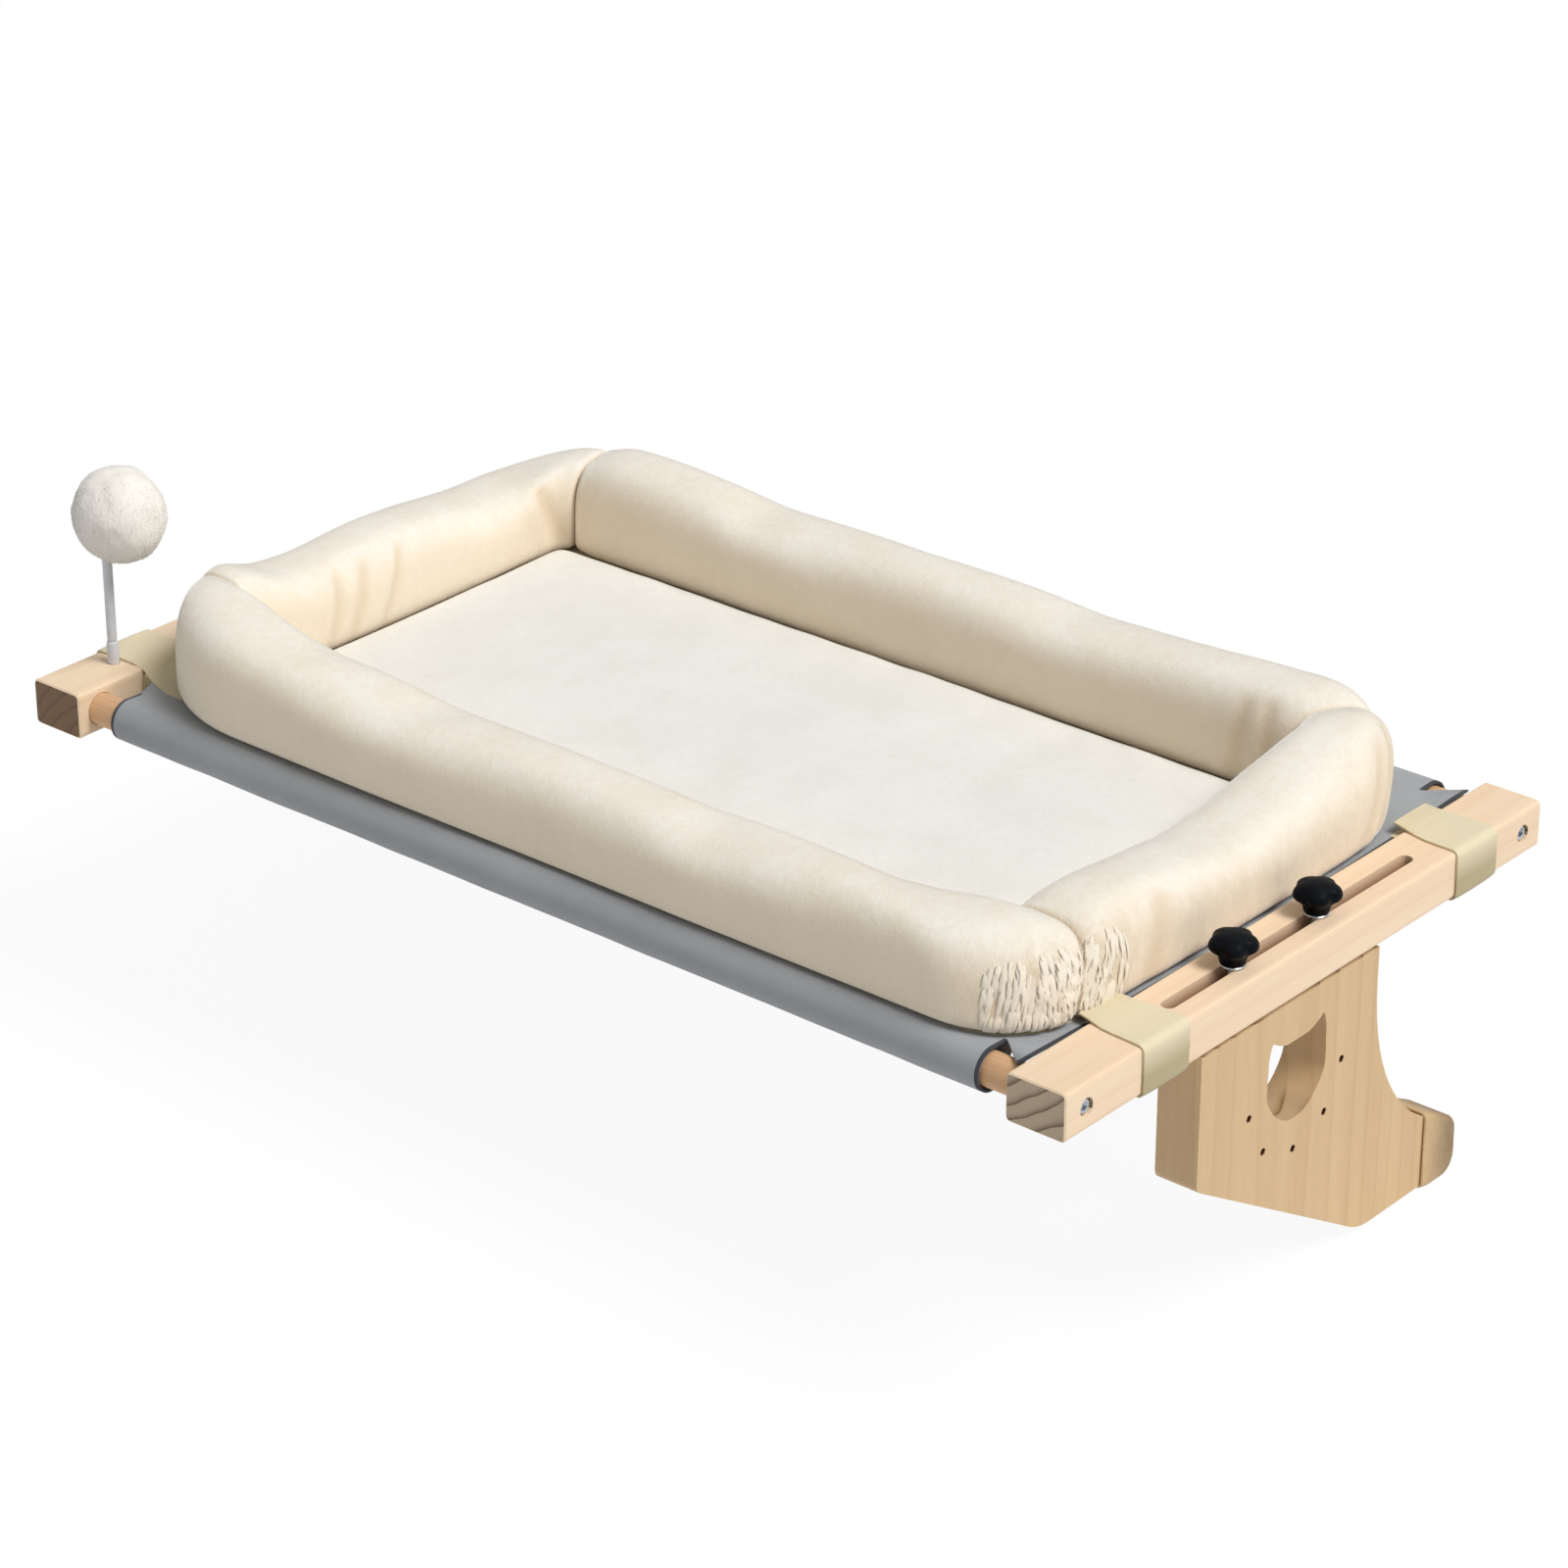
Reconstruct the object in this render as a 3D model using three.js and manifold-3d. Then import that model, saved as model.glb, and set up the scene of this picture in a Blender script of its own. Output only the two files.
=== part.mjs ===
// Cat window bed: a padded bed on a fabric sling between two wooden rails, with two legs
// that slide in the rails' slots and brace the bed against the wall below a window sill.
// Units are millimetres. +Z is up, +X runs from the left rail to the right rail, and +Y
// points back to the window. The origin is midway between the rails, at their mid-length,
// on the plane of their undersides, which rest on the sill.
import * as THREE from "three";
import { mergeVertices } from "three/addons/utils/BufferGeometryUtils.js";
import Module from "manifold-3d";

const wasm = await Module();
wasm.setup();

// Clearance between pieces that touch, and how far a cut runs past what it cuts
const seatGap = 0.3;
const cutOverrun = 2;

// Rails
const frameWidth = 700;
const railLength = 400;
const railWidth = 35;
const railHeight = 26;
const railEdgeRadius = 2.2;
const railEndBevel = 0.8;
const slotLength = 207;
const slotWidth = 8;
const slotOffset = 1.5;

// Round tubes between the rails, and the cap screws that hold them
const tubeDiameter = 18;
const tubeEndMargin = 16;
const tubeSeatDepth = 15;
const tubeEndBevel = 0.8;
const screwDiameter = 5;
const screwHeadDiameter = 8.5;
const screwHeadHeight = 5;
const screwReach = 24;
const screwHeadSink = 1;
const screwHeadBoreDiameter = 10;
const screwSocketDiameter = 4.6;
const screwSocketDepth = 2.5;

// Sling
const slingThickness = 1.2;
const slingSag = 4;
const sleeveEndGap = 20;
const slingPanelEndGap = 7;
const slingPanelSetback = 16;
const sleeveHemDrop = 6;

// Bed on the sling. It lies a little nearer to the front tube than to the back one.
const bedSetback = 20;
const bedForward = 7;
const bedInnerCornerRadius = 9;
const bottomCornerRadius = 18;
const bottomThickness = 1;
const bottomInset = 3;
const bolsterWidth = 58;
const bolsterPinchLength = 20;
const padEdgeHeight = 6;
const padCrown = 5;
const padEdgeRadius = 3;

// Rim of the bed, as its filling has settled. The corners go round from the front left one
// by the front right, the back right and the back left. Each side's heights lie evenly
// between its two corners, the same way round.
const rimFootRadii = [75, 50, 50, 60];
const rimTopRadii = [125, 65, 105, 75];
const rimCornerHeights = [66, 52.5, 57, 56];
const frontRimHeights = [57.5, 48, 47.3, 46.3, 49];
const rightRimHeights = [50.5, 46.5, 44.5, 48.5, 55.5];
const backRimHeights = [52, 47.8, 46.8, 49.3, 57.5];
const leftRimHeights = [48.5, 51.5, 53.2, 51.5, 54.5];

// Straps that hold the bed to the rails. A front strap lies between the front tube and the
// leg, with a share of the room that it leaves there behind it.
const strapWidth = 36;
const strapThickness = 1.5;
const strapFlapRun = 9;
const strapFlapRise = 1.6;
const strapBendRadius = 3;
const rightRoomShare = 0.272;
const leftRoomShare = 0.616;
const rearStrapFromEnd = 60.5;

// Legs, seen from the side: lengths run back from the leg's front edge
const legThickness = 25;
const legHeight = 160.7;
const legFrontHeight = 74;
const legTopLength = 149;
const legSlopeLength = 144;
const legReach = 226.7;
const legFrontToCentre = 80;
const legBottomRadius = 10;
const legFrontCornerRadius = 4;
const neckStraightHeight = 20;
const neckBendHeight = 55;
const footTopStart = 198;
const footTopStartDrop = 118.5;
const footTopEndDrop = 133;
const footCurveRun = 22;
const footCurveRise = 13;
const footTipRadius = 9;
const rightLegCentre = -13;
const leftLegCentre = -3;

// Cover on the tip of each foot
const coverLength = 27;
const coverThickness = 1;

// Ornament cut in each leg: a plain cat's head over five blind holes
const headOffset = 1;
const headCentreDrop = 43;
const headHalfWidth = 24.8;
const headHalfHeight = 24.5;
const earHeight = 5.5;
const holeArcRadius = 39.6;
const holeArcDrop = 46;
const holeDiameter = 4.6;
const holeDepth = 12;
const holeCount = 5;

// Clamping screws: knob, stud, washer and threaded insert
const studSpacing = 70;
const studDiameter = 6;
const studBelowRail = 14;
const studInKnob = 10;
const insertDiameter = 9;
const insertLength = 15;
const insertBoreDepth = 17;
const washerDiameter = 13;
const washerThickness = 1.2;
const knobDiameter = 25;
const knobHeight = 16.5;
const knobLobeCount = 5;

// Toy on the left rail
const toyFromStrap = 22.5;
const socketDiameter = 6.8;
const socketHeight = 13;
const socketDepth = 12;
const stemDiameter = 5.4;
const stemNeckDiameter = 4;
const stemNeckLength = 8;
const stemTopHeight = 84;
const ballWidth = 53;
const ballHeight = 58;
const ballCentreHeight = 86.3;
const ballOffsetX = 6;
const ballOffsetY = 5.1;

// Steps of round shapes
const fineSteps = 24;
const roundSteps = 12;
const cornerSteps = 3;
const curveSteps = 6;
const legSteps = 14;
const headSteps = 7;

// Places worked out from the sizes above
const railCentre = frameWidth / 2 - railWidth / 2;
const railInnerFace = frameWidth / 2 - railWidth;
const slotCentre = railCentre + slotOffset;
const tubeY = railLength / 2 - tubeEndMargin;
const tubeZ = railHeight / 2;
const tubeRadius = tubeDiameter / 2;
const sleeveInnerRadius = tubeRadius + seatGap;
const sleeveOuterRadius = sleeveInnerRadius + slingThickness;
const slingEdgeZ = tubeZ + sleeveOuterRadius;
const sleeveLength = 2 * (railInnerFace - sleeveEndGap);
const slingPanelLength = 2 * (railInnerFace - slingPanelEndGap);
const slingPanelDepth = 2 * (tubeY - slingPanelSetback);
const bedHalfX = railInnerFace - strapThickness - 2 * seatGap;
const bedHalfY = railLength / 2 - bedSetback;
const bedFloorLift = 2 * seatGap + bottomThickness;
const bottomHalfX = bedHalfX - bottomInset;
const legCentreX = frameWidth / 2 - legThickness / 2;
const footBack = legReach - legFrontToCentre;
const rightFrontStrapCentre = frontStrapCentre(rightLegCentre, rightRoomShare);
const leftFrontStrapCentre = frontStrapCentre(leftLegCentre, leftRoomShare);
const rearStrapCentre = railLength / 2 - rearStrapFromEnd;
const toyY = leftFrontStrapCentre - toyFromStrap;

// Middle of a front strap, ahead of its leg
function frontStrapCentre(legCentre, roomShare) {
  const legFront = legCentre - legFrontToCentre;
  const room = legFront + tubeY - tubeRadius - strapWidth;
  return legFront - roomShare * room - strapWidth / 2;
}

// Materials
function material(color, roughness, metalness) {
  return new THREE.MeshStandardMaterial({ color, roughness, metalness });
}

const railWood = material(0xf3dcb9, 0.6, 0);
const legWood = material(0xdfc09a, 0.6, 0);
const tubeWood = material(0xc89e78, 0.55, 0);
const slingCloth = material(0x969ba2, 0.85, 0);
const plush = material(0xeee0c6, 0.95, 0);
const padPlush = material(0xecece8, 0.95, 0);
const bottomCloth = material(0xd9ccb0, 0.9, 0);
const webbing = material(0xcdc396, 0.85, 0);
const feltBrown = material(0x876f4b, 0.95, 0);
const blackPlastic = material(0x14171b, 0.4, 0);
const zincSteel = material(0xb9bcc0, 0.35, 1);
const brass = material(0xb79a58, 0.35, 1);
const greyPlastic = material(0xc3c6ca, 0.5, 0);
const ballPlush = material(0xf0ece4, 0.98, 0);

// A closed geometry as a solid that can be cut and joined
function toSolid(geometry) {
  const bare = geometry.clone();
  bare.deleteAttribute("normal");
  bare.deleteAttribute("uv");
  const merged = mergeVertices(bare, 1e-4);
  return new wasm.Manifold(
    new wasm.Mesh({
      numProp: 3,
      vertProperties: merged.attributes.position.array,
      triVerts: new Uint32Array(merged.index.array),
    }),
  );
}

// A solid back as a geometry
function toGeometry(solid) {
  const cut = solid.getMesh();
  const geometry = new THREE.BufferGeometry();
  geometry.setAttribute("position", new THREE.BufferAttribute(cut.vertProperties, 3));
  geometry.setIndex(new THREE.BufferAttribute(cut.triVerts, 1));
  const faceted = geometry.toNonIndexed();
  faceted.computeVertexNormals();
  return faceted;
}

function subtractAll(geometry, tools) {
  const solid = tools.reduce((left, tool) => left.subtract(toSolid(tool)), toSolid(geometry));
  return toGeometry(solid);
}

function addAll(geometry, others) {
  const solid = others.reduce((left, other) => left.add(toSolid(other)), toSolid(geometry));
  return toGeometry(solid);
}

function intersection(geometry, other) {
  return toGeometry(toSolid(geometry).intersect(toSolid(other)));
}

// A shape extruded along Z between two heights
function extrudeZ(shape, low, high, steps = curveSteps) {
  const geometry = new THREE.ExtrudeGeometry(shape, {
    depth: high - low,
    bevelEnabled: false,
    curveSegments: steps,
  });
  return geometry.translate(0, 0, low);
}

// A shape drawn in y and z, extruded along X
function extrudeX(shape, low, high, steps = curveSteps) {
  const turn = new THREE.Matrix4().makeBasis(
    new THREE.Vector3(0, 1, 0),
    new THREE.Vector3(0, 0, 1),
    new THREE.Vector3(1, 0, 0),
  );
  return extrudeZ(shape, low, high, steps).applyMatrix4(turn);
}

// A shape drawn in x and z, extruded along Y
function extrudeY(shape, low, high) {
  const turn = new THREE.Matrix4().makeBasis(
    new THREE.Vector3(1, 0, 0),
    new THREE.Vector3(0, 0, 1),
    new THREE.Vector3(0, -1, 0),
  );
  return extrudeZ(shape, -high, -low).applyMatrix4(turn);
}

// A round bar along Z between two heights
function barZ(radius, low, high, steps) {
  const bar = new THREE.CylinderGeometry(radius, radius, high - low, steps);
  return bar.rotateX(Math.PI / 2).translate(0, 0, (low + high) / 2);
}

// A round bar along X between two places
function barX(radius, low, high, steps) {
  return barZ(radius, low, high, steps).rotateY(Math.PI / 2);
}

// A solid of revolution about Z from points of radius and height
function turned(points, steps) {
  const profile = points.map(([radius, height]) => new THREE.Vector2(radius, height));
  return new THREE.LatheGeometry(profile, steps).rotateX(Math.PI / 2);
}

// A closed outline whose corners, given as [x, y, radius], are rounded
function roundedOutline(corners) {
  const shape = new THREE.Shape();
  corners.forEach(([x, y, radius], i) => {
    const corner = new THREE.Vector2(x, y);
    const before = corners[(i + corners.length - 1) % corners.length];
    const after = corners[(i + 1) % corners.length];
    const toBefore = new THREE.Vector2(before[0] - x, before[1] - y).normalize();
    const toAfter = new THREE.Vector2(after[0] - x, after[1] - y).normalize();
    const start = corner.clone().addScaledVector(toBefore, radius);
    const end = corner.clone().addScaledVector(toAfter, radius);
    if (i === 0) shape.moveTo(start.x, start.y);
    else shape.lineTo(start.x, start.y);
    if (radius > 0) shape.quadraticCurveTo(x, y, end.x, end.y);
  });
  shape.closePath();
  return shape;
}

function rectangle(halfX, halfY, radius) {
  return roundedOutline([
    [-halfX, -halfY, radius],
    [halfX, -halfY, radius],
    [halfX, halfY, radius],
    [-halfX, halfY, radius],
  ]);
}

// A closed surface from rings of points: each ring has as many points as the next, and a
// centre point closes each end
function closedRings(rings, startCentre, endCentre) {
  const perRing = rings[0].length;
  const vertices = [...startCentre];
  rings.forEach((ring) => ring.forEach((point) => vertices.push(...point)));
  vertices.push(...endCentre);
  const last = rings.length * perRing + 1;
  const index = [];
  for (let j = 0; j < perRing; j += 1) {
    const k = (j + 1) % perRing;
    index.push(0, 1 + k, 1 + j);
    index.push(last, last - perRing + j, last - perRing + k);
  }
  for (let i = 0; i + 1 < rings.length; i += 1) {
    for (let j = 0; j < perRing; j += 1) {
      const k = (j + 1) % perRing;
      const near = 1 + i * perRing;
      const far = near + perRing;
      index.push(near + j, near + k, far + k);
      index.push(near + j, far + k, far + j);
    }
  }
  const geometry = new THREE.BufferGeometry();
  geometry.setAttribute("position", new THREE.Float32BufferAttribute(vertices, 3));
  geometry.setIndex(enclosedVolume(vertices, index) > 0 ? index : index.reverse());
  geometry.computeVertexNormals();
  return geometry;
}

// Volume inside a closed surface, below zero where its faces point inwards
function enclosedVolume(vertices, index) {
  const corner = (i) => new THREE.Vector3(...vertices.slice(3 * index[i], 3 * index[i] + 3));
  let sum = 0;
  for (let i = 0; i < index.length; i += 3) {
    sum += corner(i).dot(corner(i + 1).cross(corner(i + 2)));
  }
  return sum / 6;
}

function part(name, geometry, finish) {
  const mesh = new THREE.Mesh(geometry, finish);
  mesh.name = name;
  return mesh;
}

function translated(geometry, x, y, z) {
  return geometry.clone().translate(x, y, z);
}

// Height of the sling's top surface across the bed's depth
function slingTop(y) {
  const share = Math.min(1, Math.abs(y) / tubeY);
  return slingEdgeZ - slingSag * (1 - share * share);
}

// Rail: a beam along Y with a slot for the clamping screws, a seat for each round tube,
// a bore for each cap screw and, on the left rail, a bore for the toy's socket. It is
// drawn as the right rail.
function railGeometry() {
  const section = rectangle(
    railWidth / 2 - railEndBevel,
    railHeight / 2 - railEndBevel,
    railEdgeRadius,
  );
  const beam = new THREE.ExtrudeGeometry(section, {
    depth: railLength - 2 * railEndBevel,
    bevelThickness: railEndBevel,
    bevelSize: railEndBevel,
    bevelSegments: 1,
    curveSegments: cornerSteps,
  });
  beam.translate(0, 0, railEndBevel - railLength / 2);
  beam.rotateX(Math.PI / 2);
  beam.translate(railCentre, 0, tubeZ);
  const slotShape = new THREE.Shape();
  const slotRun = slotLength / 2 - slotWidth / 2;
  slotShape.absarc(0, slotRun, slotWidth / 2, 0, Math.PI);
  slotShape.absarc(0, -slotRun, slotWidth / 2, Math.PI, 2 * Math.PI);
  slotShape.closePath();
  const slot = extrudeZ(slotShape, -cutOverrun, railHeight + cutOverrun);
  const tools = [translated(slot, slotCentre, 0, 0)];
  const outerFace = frameWidth / 2;
  for (const side of [-1, 1]) {
    const seatFloor = railInnerFace + tubeSeatDepth;
    const seat = barX(tubeRadius + seatGap, railInnerFace - cutOverrun, seatFloor, fineSteps);
    const shank = barX(screwDiameter / 2 + seatGap, railInnerFace, outerFace, roundSteps);
    const headFloor = outerFace - screwHeadHeight - screwHeadSink;
    const head = barX(screwHeadBoreDiameter / 2, headFloor, outerFace + cutOverrun, roundSteps);
    for (const bore of [seat, shank, head]) {
      tools.push(translated(bore, 0, side * tubeY, tubeZ));
    }
  }
  return subtractAll(beam, tools);
}

function makeRails() {
  const right = railGeometry();
  const left = toGeometry(toSolid(railGeometry().rotateZ(Math.PI)));
  const toyBoreFloor = railHeight - socketDepth - seatGap;
  const toyBoreRadius = socketDiameter / 2 + seatGap;
  const toyBore = barZ(toyBoreRadius, toyBoreFloor, railHeight + cutOverrun, roundSteps);
  return [
    part("left_rail", subtractAll(left, [translated(toyBore, -railCentre, toyY, 0)]), railWood),
    part("right_rail", right, railWood),
  ];
}

// Round tube between the rails, drilled at each end for its cap screw
function tubeGeometry() {
  const end = railInnerFace + tubeSeatDepth - seatGap;
  const bar = turned(
    [
      [0, -end],
      [tubeRadius - tubeEndBevel, -end],
      [tubeRadius, tubeEndBevel - end],
      [tubeRadius, end - tubeEndBevel],
      [tubeRadius - tubeEndBevel, end],
      [0, end],
    ],
    fineSteps,
  ).rotateY(Math.PI / 2);
  const tools = [-1, 1].map((side) => {
    const inner = end - screwReach - seatGap;
    const outer = end + cutOverrun;
    const pilot = barX(screwDiameter / 2 + seatGap, inner, outer, roundSteps);
    return side > 0 ? pilot : pilot.rotateZ(Math.PI);
  });
  return subtractAll(bar, tools);
}

function makeTubes() {
  return [
    part("front_tube", translated(tubeGeometry(), 0, -tubeY, tubeZ), tubeWood),
    part("back_tube", translated(tubeGeometry(), 0, tubeY, tubeZ), tubeWood),
  ];
}

// Cap screw along X with a six-sided socket in its head
function screwGeometry() {
  const headTop = frameWidth / 2 - screwHeadSink;
  const headBottom = headTop - screwHeadHeight + seatGap;
  const tip = railInnerFace + tubeSeatDepth - seatGap - screwReach;
  const headRadius = screwHeadDiameter / 2;
  const shankRadius = screwDiameter / 2;
  const screw = turned(
    [
      [0, tip],
      [shankRadius, tip + shankRadius],
      [shankRadius, headBottom],
      [headRadius, headBottom],
      [headRadius, headTop - screwHeadSink / 2],
      [headRadius - screwHeadSink / 2, headTop],
      [0, headTop],
    ],
    roundSteps,
  );
  const socket = barZ(screwSocketDiameter / 2, headTop - screwSocketDepth, headTop + cutOverrun, 6);
  return subtractAll(screw, [socket]).rotateY(Math.PI / 2);
}

function makeTubeScrews() {
  const screws = [];
  for (const [sideName, turn] of [["left", Math.PI], ["right", 0]]) {
    for (const [endName, end] of [["front", -1], ["back", 1]]) {
      const geometry = screwGeometry().rotateZ(turn).translate(0, end * tubeY, tubeZ);
      screws.push(part(`${sideName}_${endName}_tube_screw`, geometry, zincSteel));
    }
  }
  return screws;
}

// Starts a shape's outline at the first point and draws it on through the others
function trace(shape, points) {
  shape.moveTo(...points[0]);
  points.slice(1).forEach((point) => shape.lineTo(...point));
}

// Points of the sling's curve between two depths, raised by a lift
function sagPoints(from, to, lift, steps) {
  return Array.from({ length: steps + 1 }, (_, i) => {
    const y = from + ((to - from) * i) / steps;
    return [y, slingTop(y) + lift];
  });
}

// Sling: a sagging panel with a sleeve round each tube. The sleeves are shorter than the
// rails' distance, and the panel between them is wider.
function makeSling() {
  const panelSteps = 12;
  const top = sagPoints(-tubeY, tubeY, 0, panelSteps);
  const hemY = tubeY - sleeveOuterRadius - sleeveHemDrop;
  const under = sagPoints(hemY, -hemY, -slingThickness, panelSteps);
  const outline = new THREE.Shape();
  trace(outline, top);
  outline.absarc(tubeY, tubeZ, sleeveOuterRadius, Math.PI / 2, -Math.PI, true);
  under.forEach(([y, z]) => outline.lineTo(y, z));
  outline.absarc(-tubeY, tubeZ, sleeveOuterRadius, 0, -1.5 * Math.PI, true);
  for (const side of [-1, 1]) {
    const hole = new THREE.Path();
    hole.absarc(side * tubeY, tubeZ, sleeveInnerRadius, 0, 2 * Math.PI);
    outline.holes.push(hole);
  }
  const sleeves = extrudeX(outline, -sleeveLength / 2, sleeveLength / 2, fineSteps / 2);
  const half = slingPanelDepth / 2;
  const strip = new THREE.Shape();
  const panelTop = sagPoints(-half, half, 0, panelSteps);
  const panelUnder = sagPoints(half, -half, -slingThickness, panelSteps);
  trace(strip, [...panelTop, ...panelUnder]);
  strip.closePath();
  const panel = extrudeX(strip, -slingPanelLength / 2, slingPanelLength / 2);
  return [part("sling", addAll(sleeves, [panel]), slingCloth)];
}

// Bottom cloth of the bed, laid on the sling
function makeBottom() {
  const steps = 12;
  const halfY = bedHalfY - bottomInset;
  const front = -halfY - bedForward;
  const back = halfY - bedForward;
  const low = sagPoints(front, back, seatGap, steps);
  const high = sagPoints(back, front, seatGap + bottomThickness, steps);
  const strip = new THREE.Shape();
  trace(strip, [...low, ...high]);
  strip.closePath();
  const sheet = extrudeX(strip, -bottomHalfX, bottomHalfX);
  const outline = rectangle(bottomHalfX, halfY, bottomCornerRadius);
  const plan = translated(extrudeZ(outline, 0, slingEdgeZ + bedFloorLift), 0, -bedForward, 0);
  return [part("bed_bottom", intersection(sheet, plan), bottomCloth)];
}

// A point of the bed, from its own middle and its height above the bottom cloth
function bedPoint(x, y, rise) {
  const shifted = y - bedForward;
  return [x, shifted, slingTop(shifted) + bedFloorLift + rise];
}

// A place on one side of a rounded rectangle, from the middle of one corner's arc at
// share -1 to the middle of the other's at share 1: [along the side, out from the centre]
function sidePlace(halfAlong, halfOut, radius, share) {
  const straight = halfAlong - radius;
  const whole = straight + (radius * Math.PI) / 4;
  const run = Math.abs(share) * whole;
  const sign = Math.sign(share);
  if (run <= straight) return [sign * run, halfOut];
  const angle = (run - straight) / radius;
  return [sign * (straight + radius * Math.sin(angle)), halfOut - radius * (1 - Math.cos(angle))];
}

// A value between evenly spread ones, on a smooth curve through them
function smoothValue(values, share) {
  const last = values.length - 1;
  const place = ((share + 1) / 2) * last;
  const i = Math.min(Math.floor(place), last - 1);
  const t = place - i;
  const [a, b, c, d] = [i - 1, i, i + 1, i + 2].map((k) => values[Math.max(0, Math.min(last, k))]);
  const bend = 2 * a - 5 * b + 4 * c - d + t * (3 * (b - c) + d - a);
  return b + (t / 2) * (c - a + t * bend);
}

// Section of a bolster, widest below its middle: shares of its width, from the inner side
// out, and of its height
function bolsterSection(steps) {
  const crownPowerShare = 0.82;
  const underPowerShare = 0.5;
  const widestShare = 0.32;
  return Array.from({ length: steps }, (_, i) => {
    const angle = (2 * Math.PI * i) / steps;
    const across = Math.cos(angle);
    const up = Math.sin(angle);
    const powerShare = up > 0 ? crownPowerShare : underPowerShare;
    const widthShare = 0.5 + 0.5 * Math.sign(across) * Math.abs(across) ** powerShare;
    const reachShare = up > 0 ? 1 - widestShare : -widestShare;
    const heightShare = widestShare + reachShare * Math.abs(up) ** powerShare;
    return [widthShare, heightShare];
  });
}

// One side of the raised rim: a stuffed bolster with mitred ends that are drawn in at the
// seams. first counts the corner it starts at. Its outer edge is rounder at the top of a
// corner than at the foot.
function bolsterGeometry(first, sideHeights) {
  const stations = 28;
  const sectionSteps = 16;
  const endHeightShare = 0.94;
  const section = bolsterSection(sectionSteps);
  const corners = [first, (first + 1) % rimCornerHeights.length];
  const [startHeight, endHeight] = corners.map((corner) => rimCornerHeights[corner]);
  const heights = [startHeight, ...sideHeights, endHeight];
  const [halfAlong, halfOut] = first % 2 ? [bedHalfY, bedHalfX] : [bedHalfX, bedHalfY];
  const turn = (first * Math.PI) / 2;
  const mitre = halfAlong - halfOut;
  const rings = [];
  for (let i = 0; i <= stations; i += 1) {
    const even = (2 * i) / stations - 1;
    const share = even * (1.5 - 0.5 * even * even);
    const [innerAlong, innerOut] = sidePlace(
      halfAlong - bolsterWidth,
      halfOut - bolsterWidth,
      bedInnerCornerRadius,
      share,
    );
    const corner = corners[share < 0 ? 0 : 1];
    const footRadius = rimFootRadii[corner];
    const lean = rimTopRadii[corner] - footRadius;
    const fromEnd = ((1 - Math.abs(share)) * halfAlong) / bolsterPinchLength;
    const pinch = (1 - endHeightShare) * Math.exp(-fromEnd * fromEnd);
    const height = smoothValue(heights, share) * (1 - pinch);
    rings.push(
      section.map(([widthShare, heightShare]) => {
        const radius = footRadius + lean * heightShare;
        const [outerAlong, outerOut] = sidePlace(halfAlong, halfOut, radius, share);
        const out = innerOut + (outerOut - innerOut) * widthShare;
        const ruled = innerAlong + (outerAlong - innerAlong) * widthShare;
        const limit = out + mitre - seatGap;
        const along = Math.max(-limit, Math.min(limit, ruled));
        const plan = new THREE.Vector2(along, -out).rotateAround(new THREE.Vector2(), turn);
        return bedPoint(plan.x, plan.y, heightShare * height);
      }),
    );
  }
  const centres = [rings[0], rings[rings.length - 1]].map((ring) => {
    const sum = ring.reduce((total, p) => total.map((v, axis) => v + p[axis]), [0, 0, 0]);
    return sum.map((v) => v / ring.length);
  });
  return closedRings(rings, centres[0], centres[1]);
}

function makeBolsters() {
  const sides = [
    ["front_bolster", frontRimHeights],
    ["right_bolster", rightRimHeights],
    ["back_bolster", backRimHeights],
    ["left_bolster", leftRimHeights],
  ];
  return sides.map(([name, heights], i) => part(name, bolsterGeometry(i, heights), plush));
}

// Points round a rectangle with rounded corners, counted alike at any size
function rimPoints(halfX, halfY, radius) {
  const sideSteps = [6, 4];
  const corners = [
    [halfX - radius, radius - halfY],
    [halfX - radius, halfY - radius],
    [radius - halfX, halfY - radius],
    [radius - halfX, radius - halfY],
  ];
  const points = [];
  corners.forEach(([centreX, centreY], i) => {
    for (let k = 0; k <= cornerSteps; k += 1) {
      const angle = (Math.PI / 2) * (i - 1 + k / cornerSteps);
      points.push([centreX + radius * Math.cos(angle), centreY + radius * Math.sin(angle)]);
    }
    const from = points[points.length - 1];
    const angle = (Math.PI / 2) * i;
    const next = corners[(i + 1) % corners.length];
    const to = [next[0] + radius * Math.cos(angle), next[1] + radius * Math.sin(angle)];
    const steps = sideSteps[(i + 1) % 2];
    const between = (axis, k) => from[axis] + ((to[axis] - from[axis]) * k) / steps;
    for (let k = 1; k < steps; k += 1) {
      points.push([between(0, k), between(1, k)]);
    }
  });
  return points;
}

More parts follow.
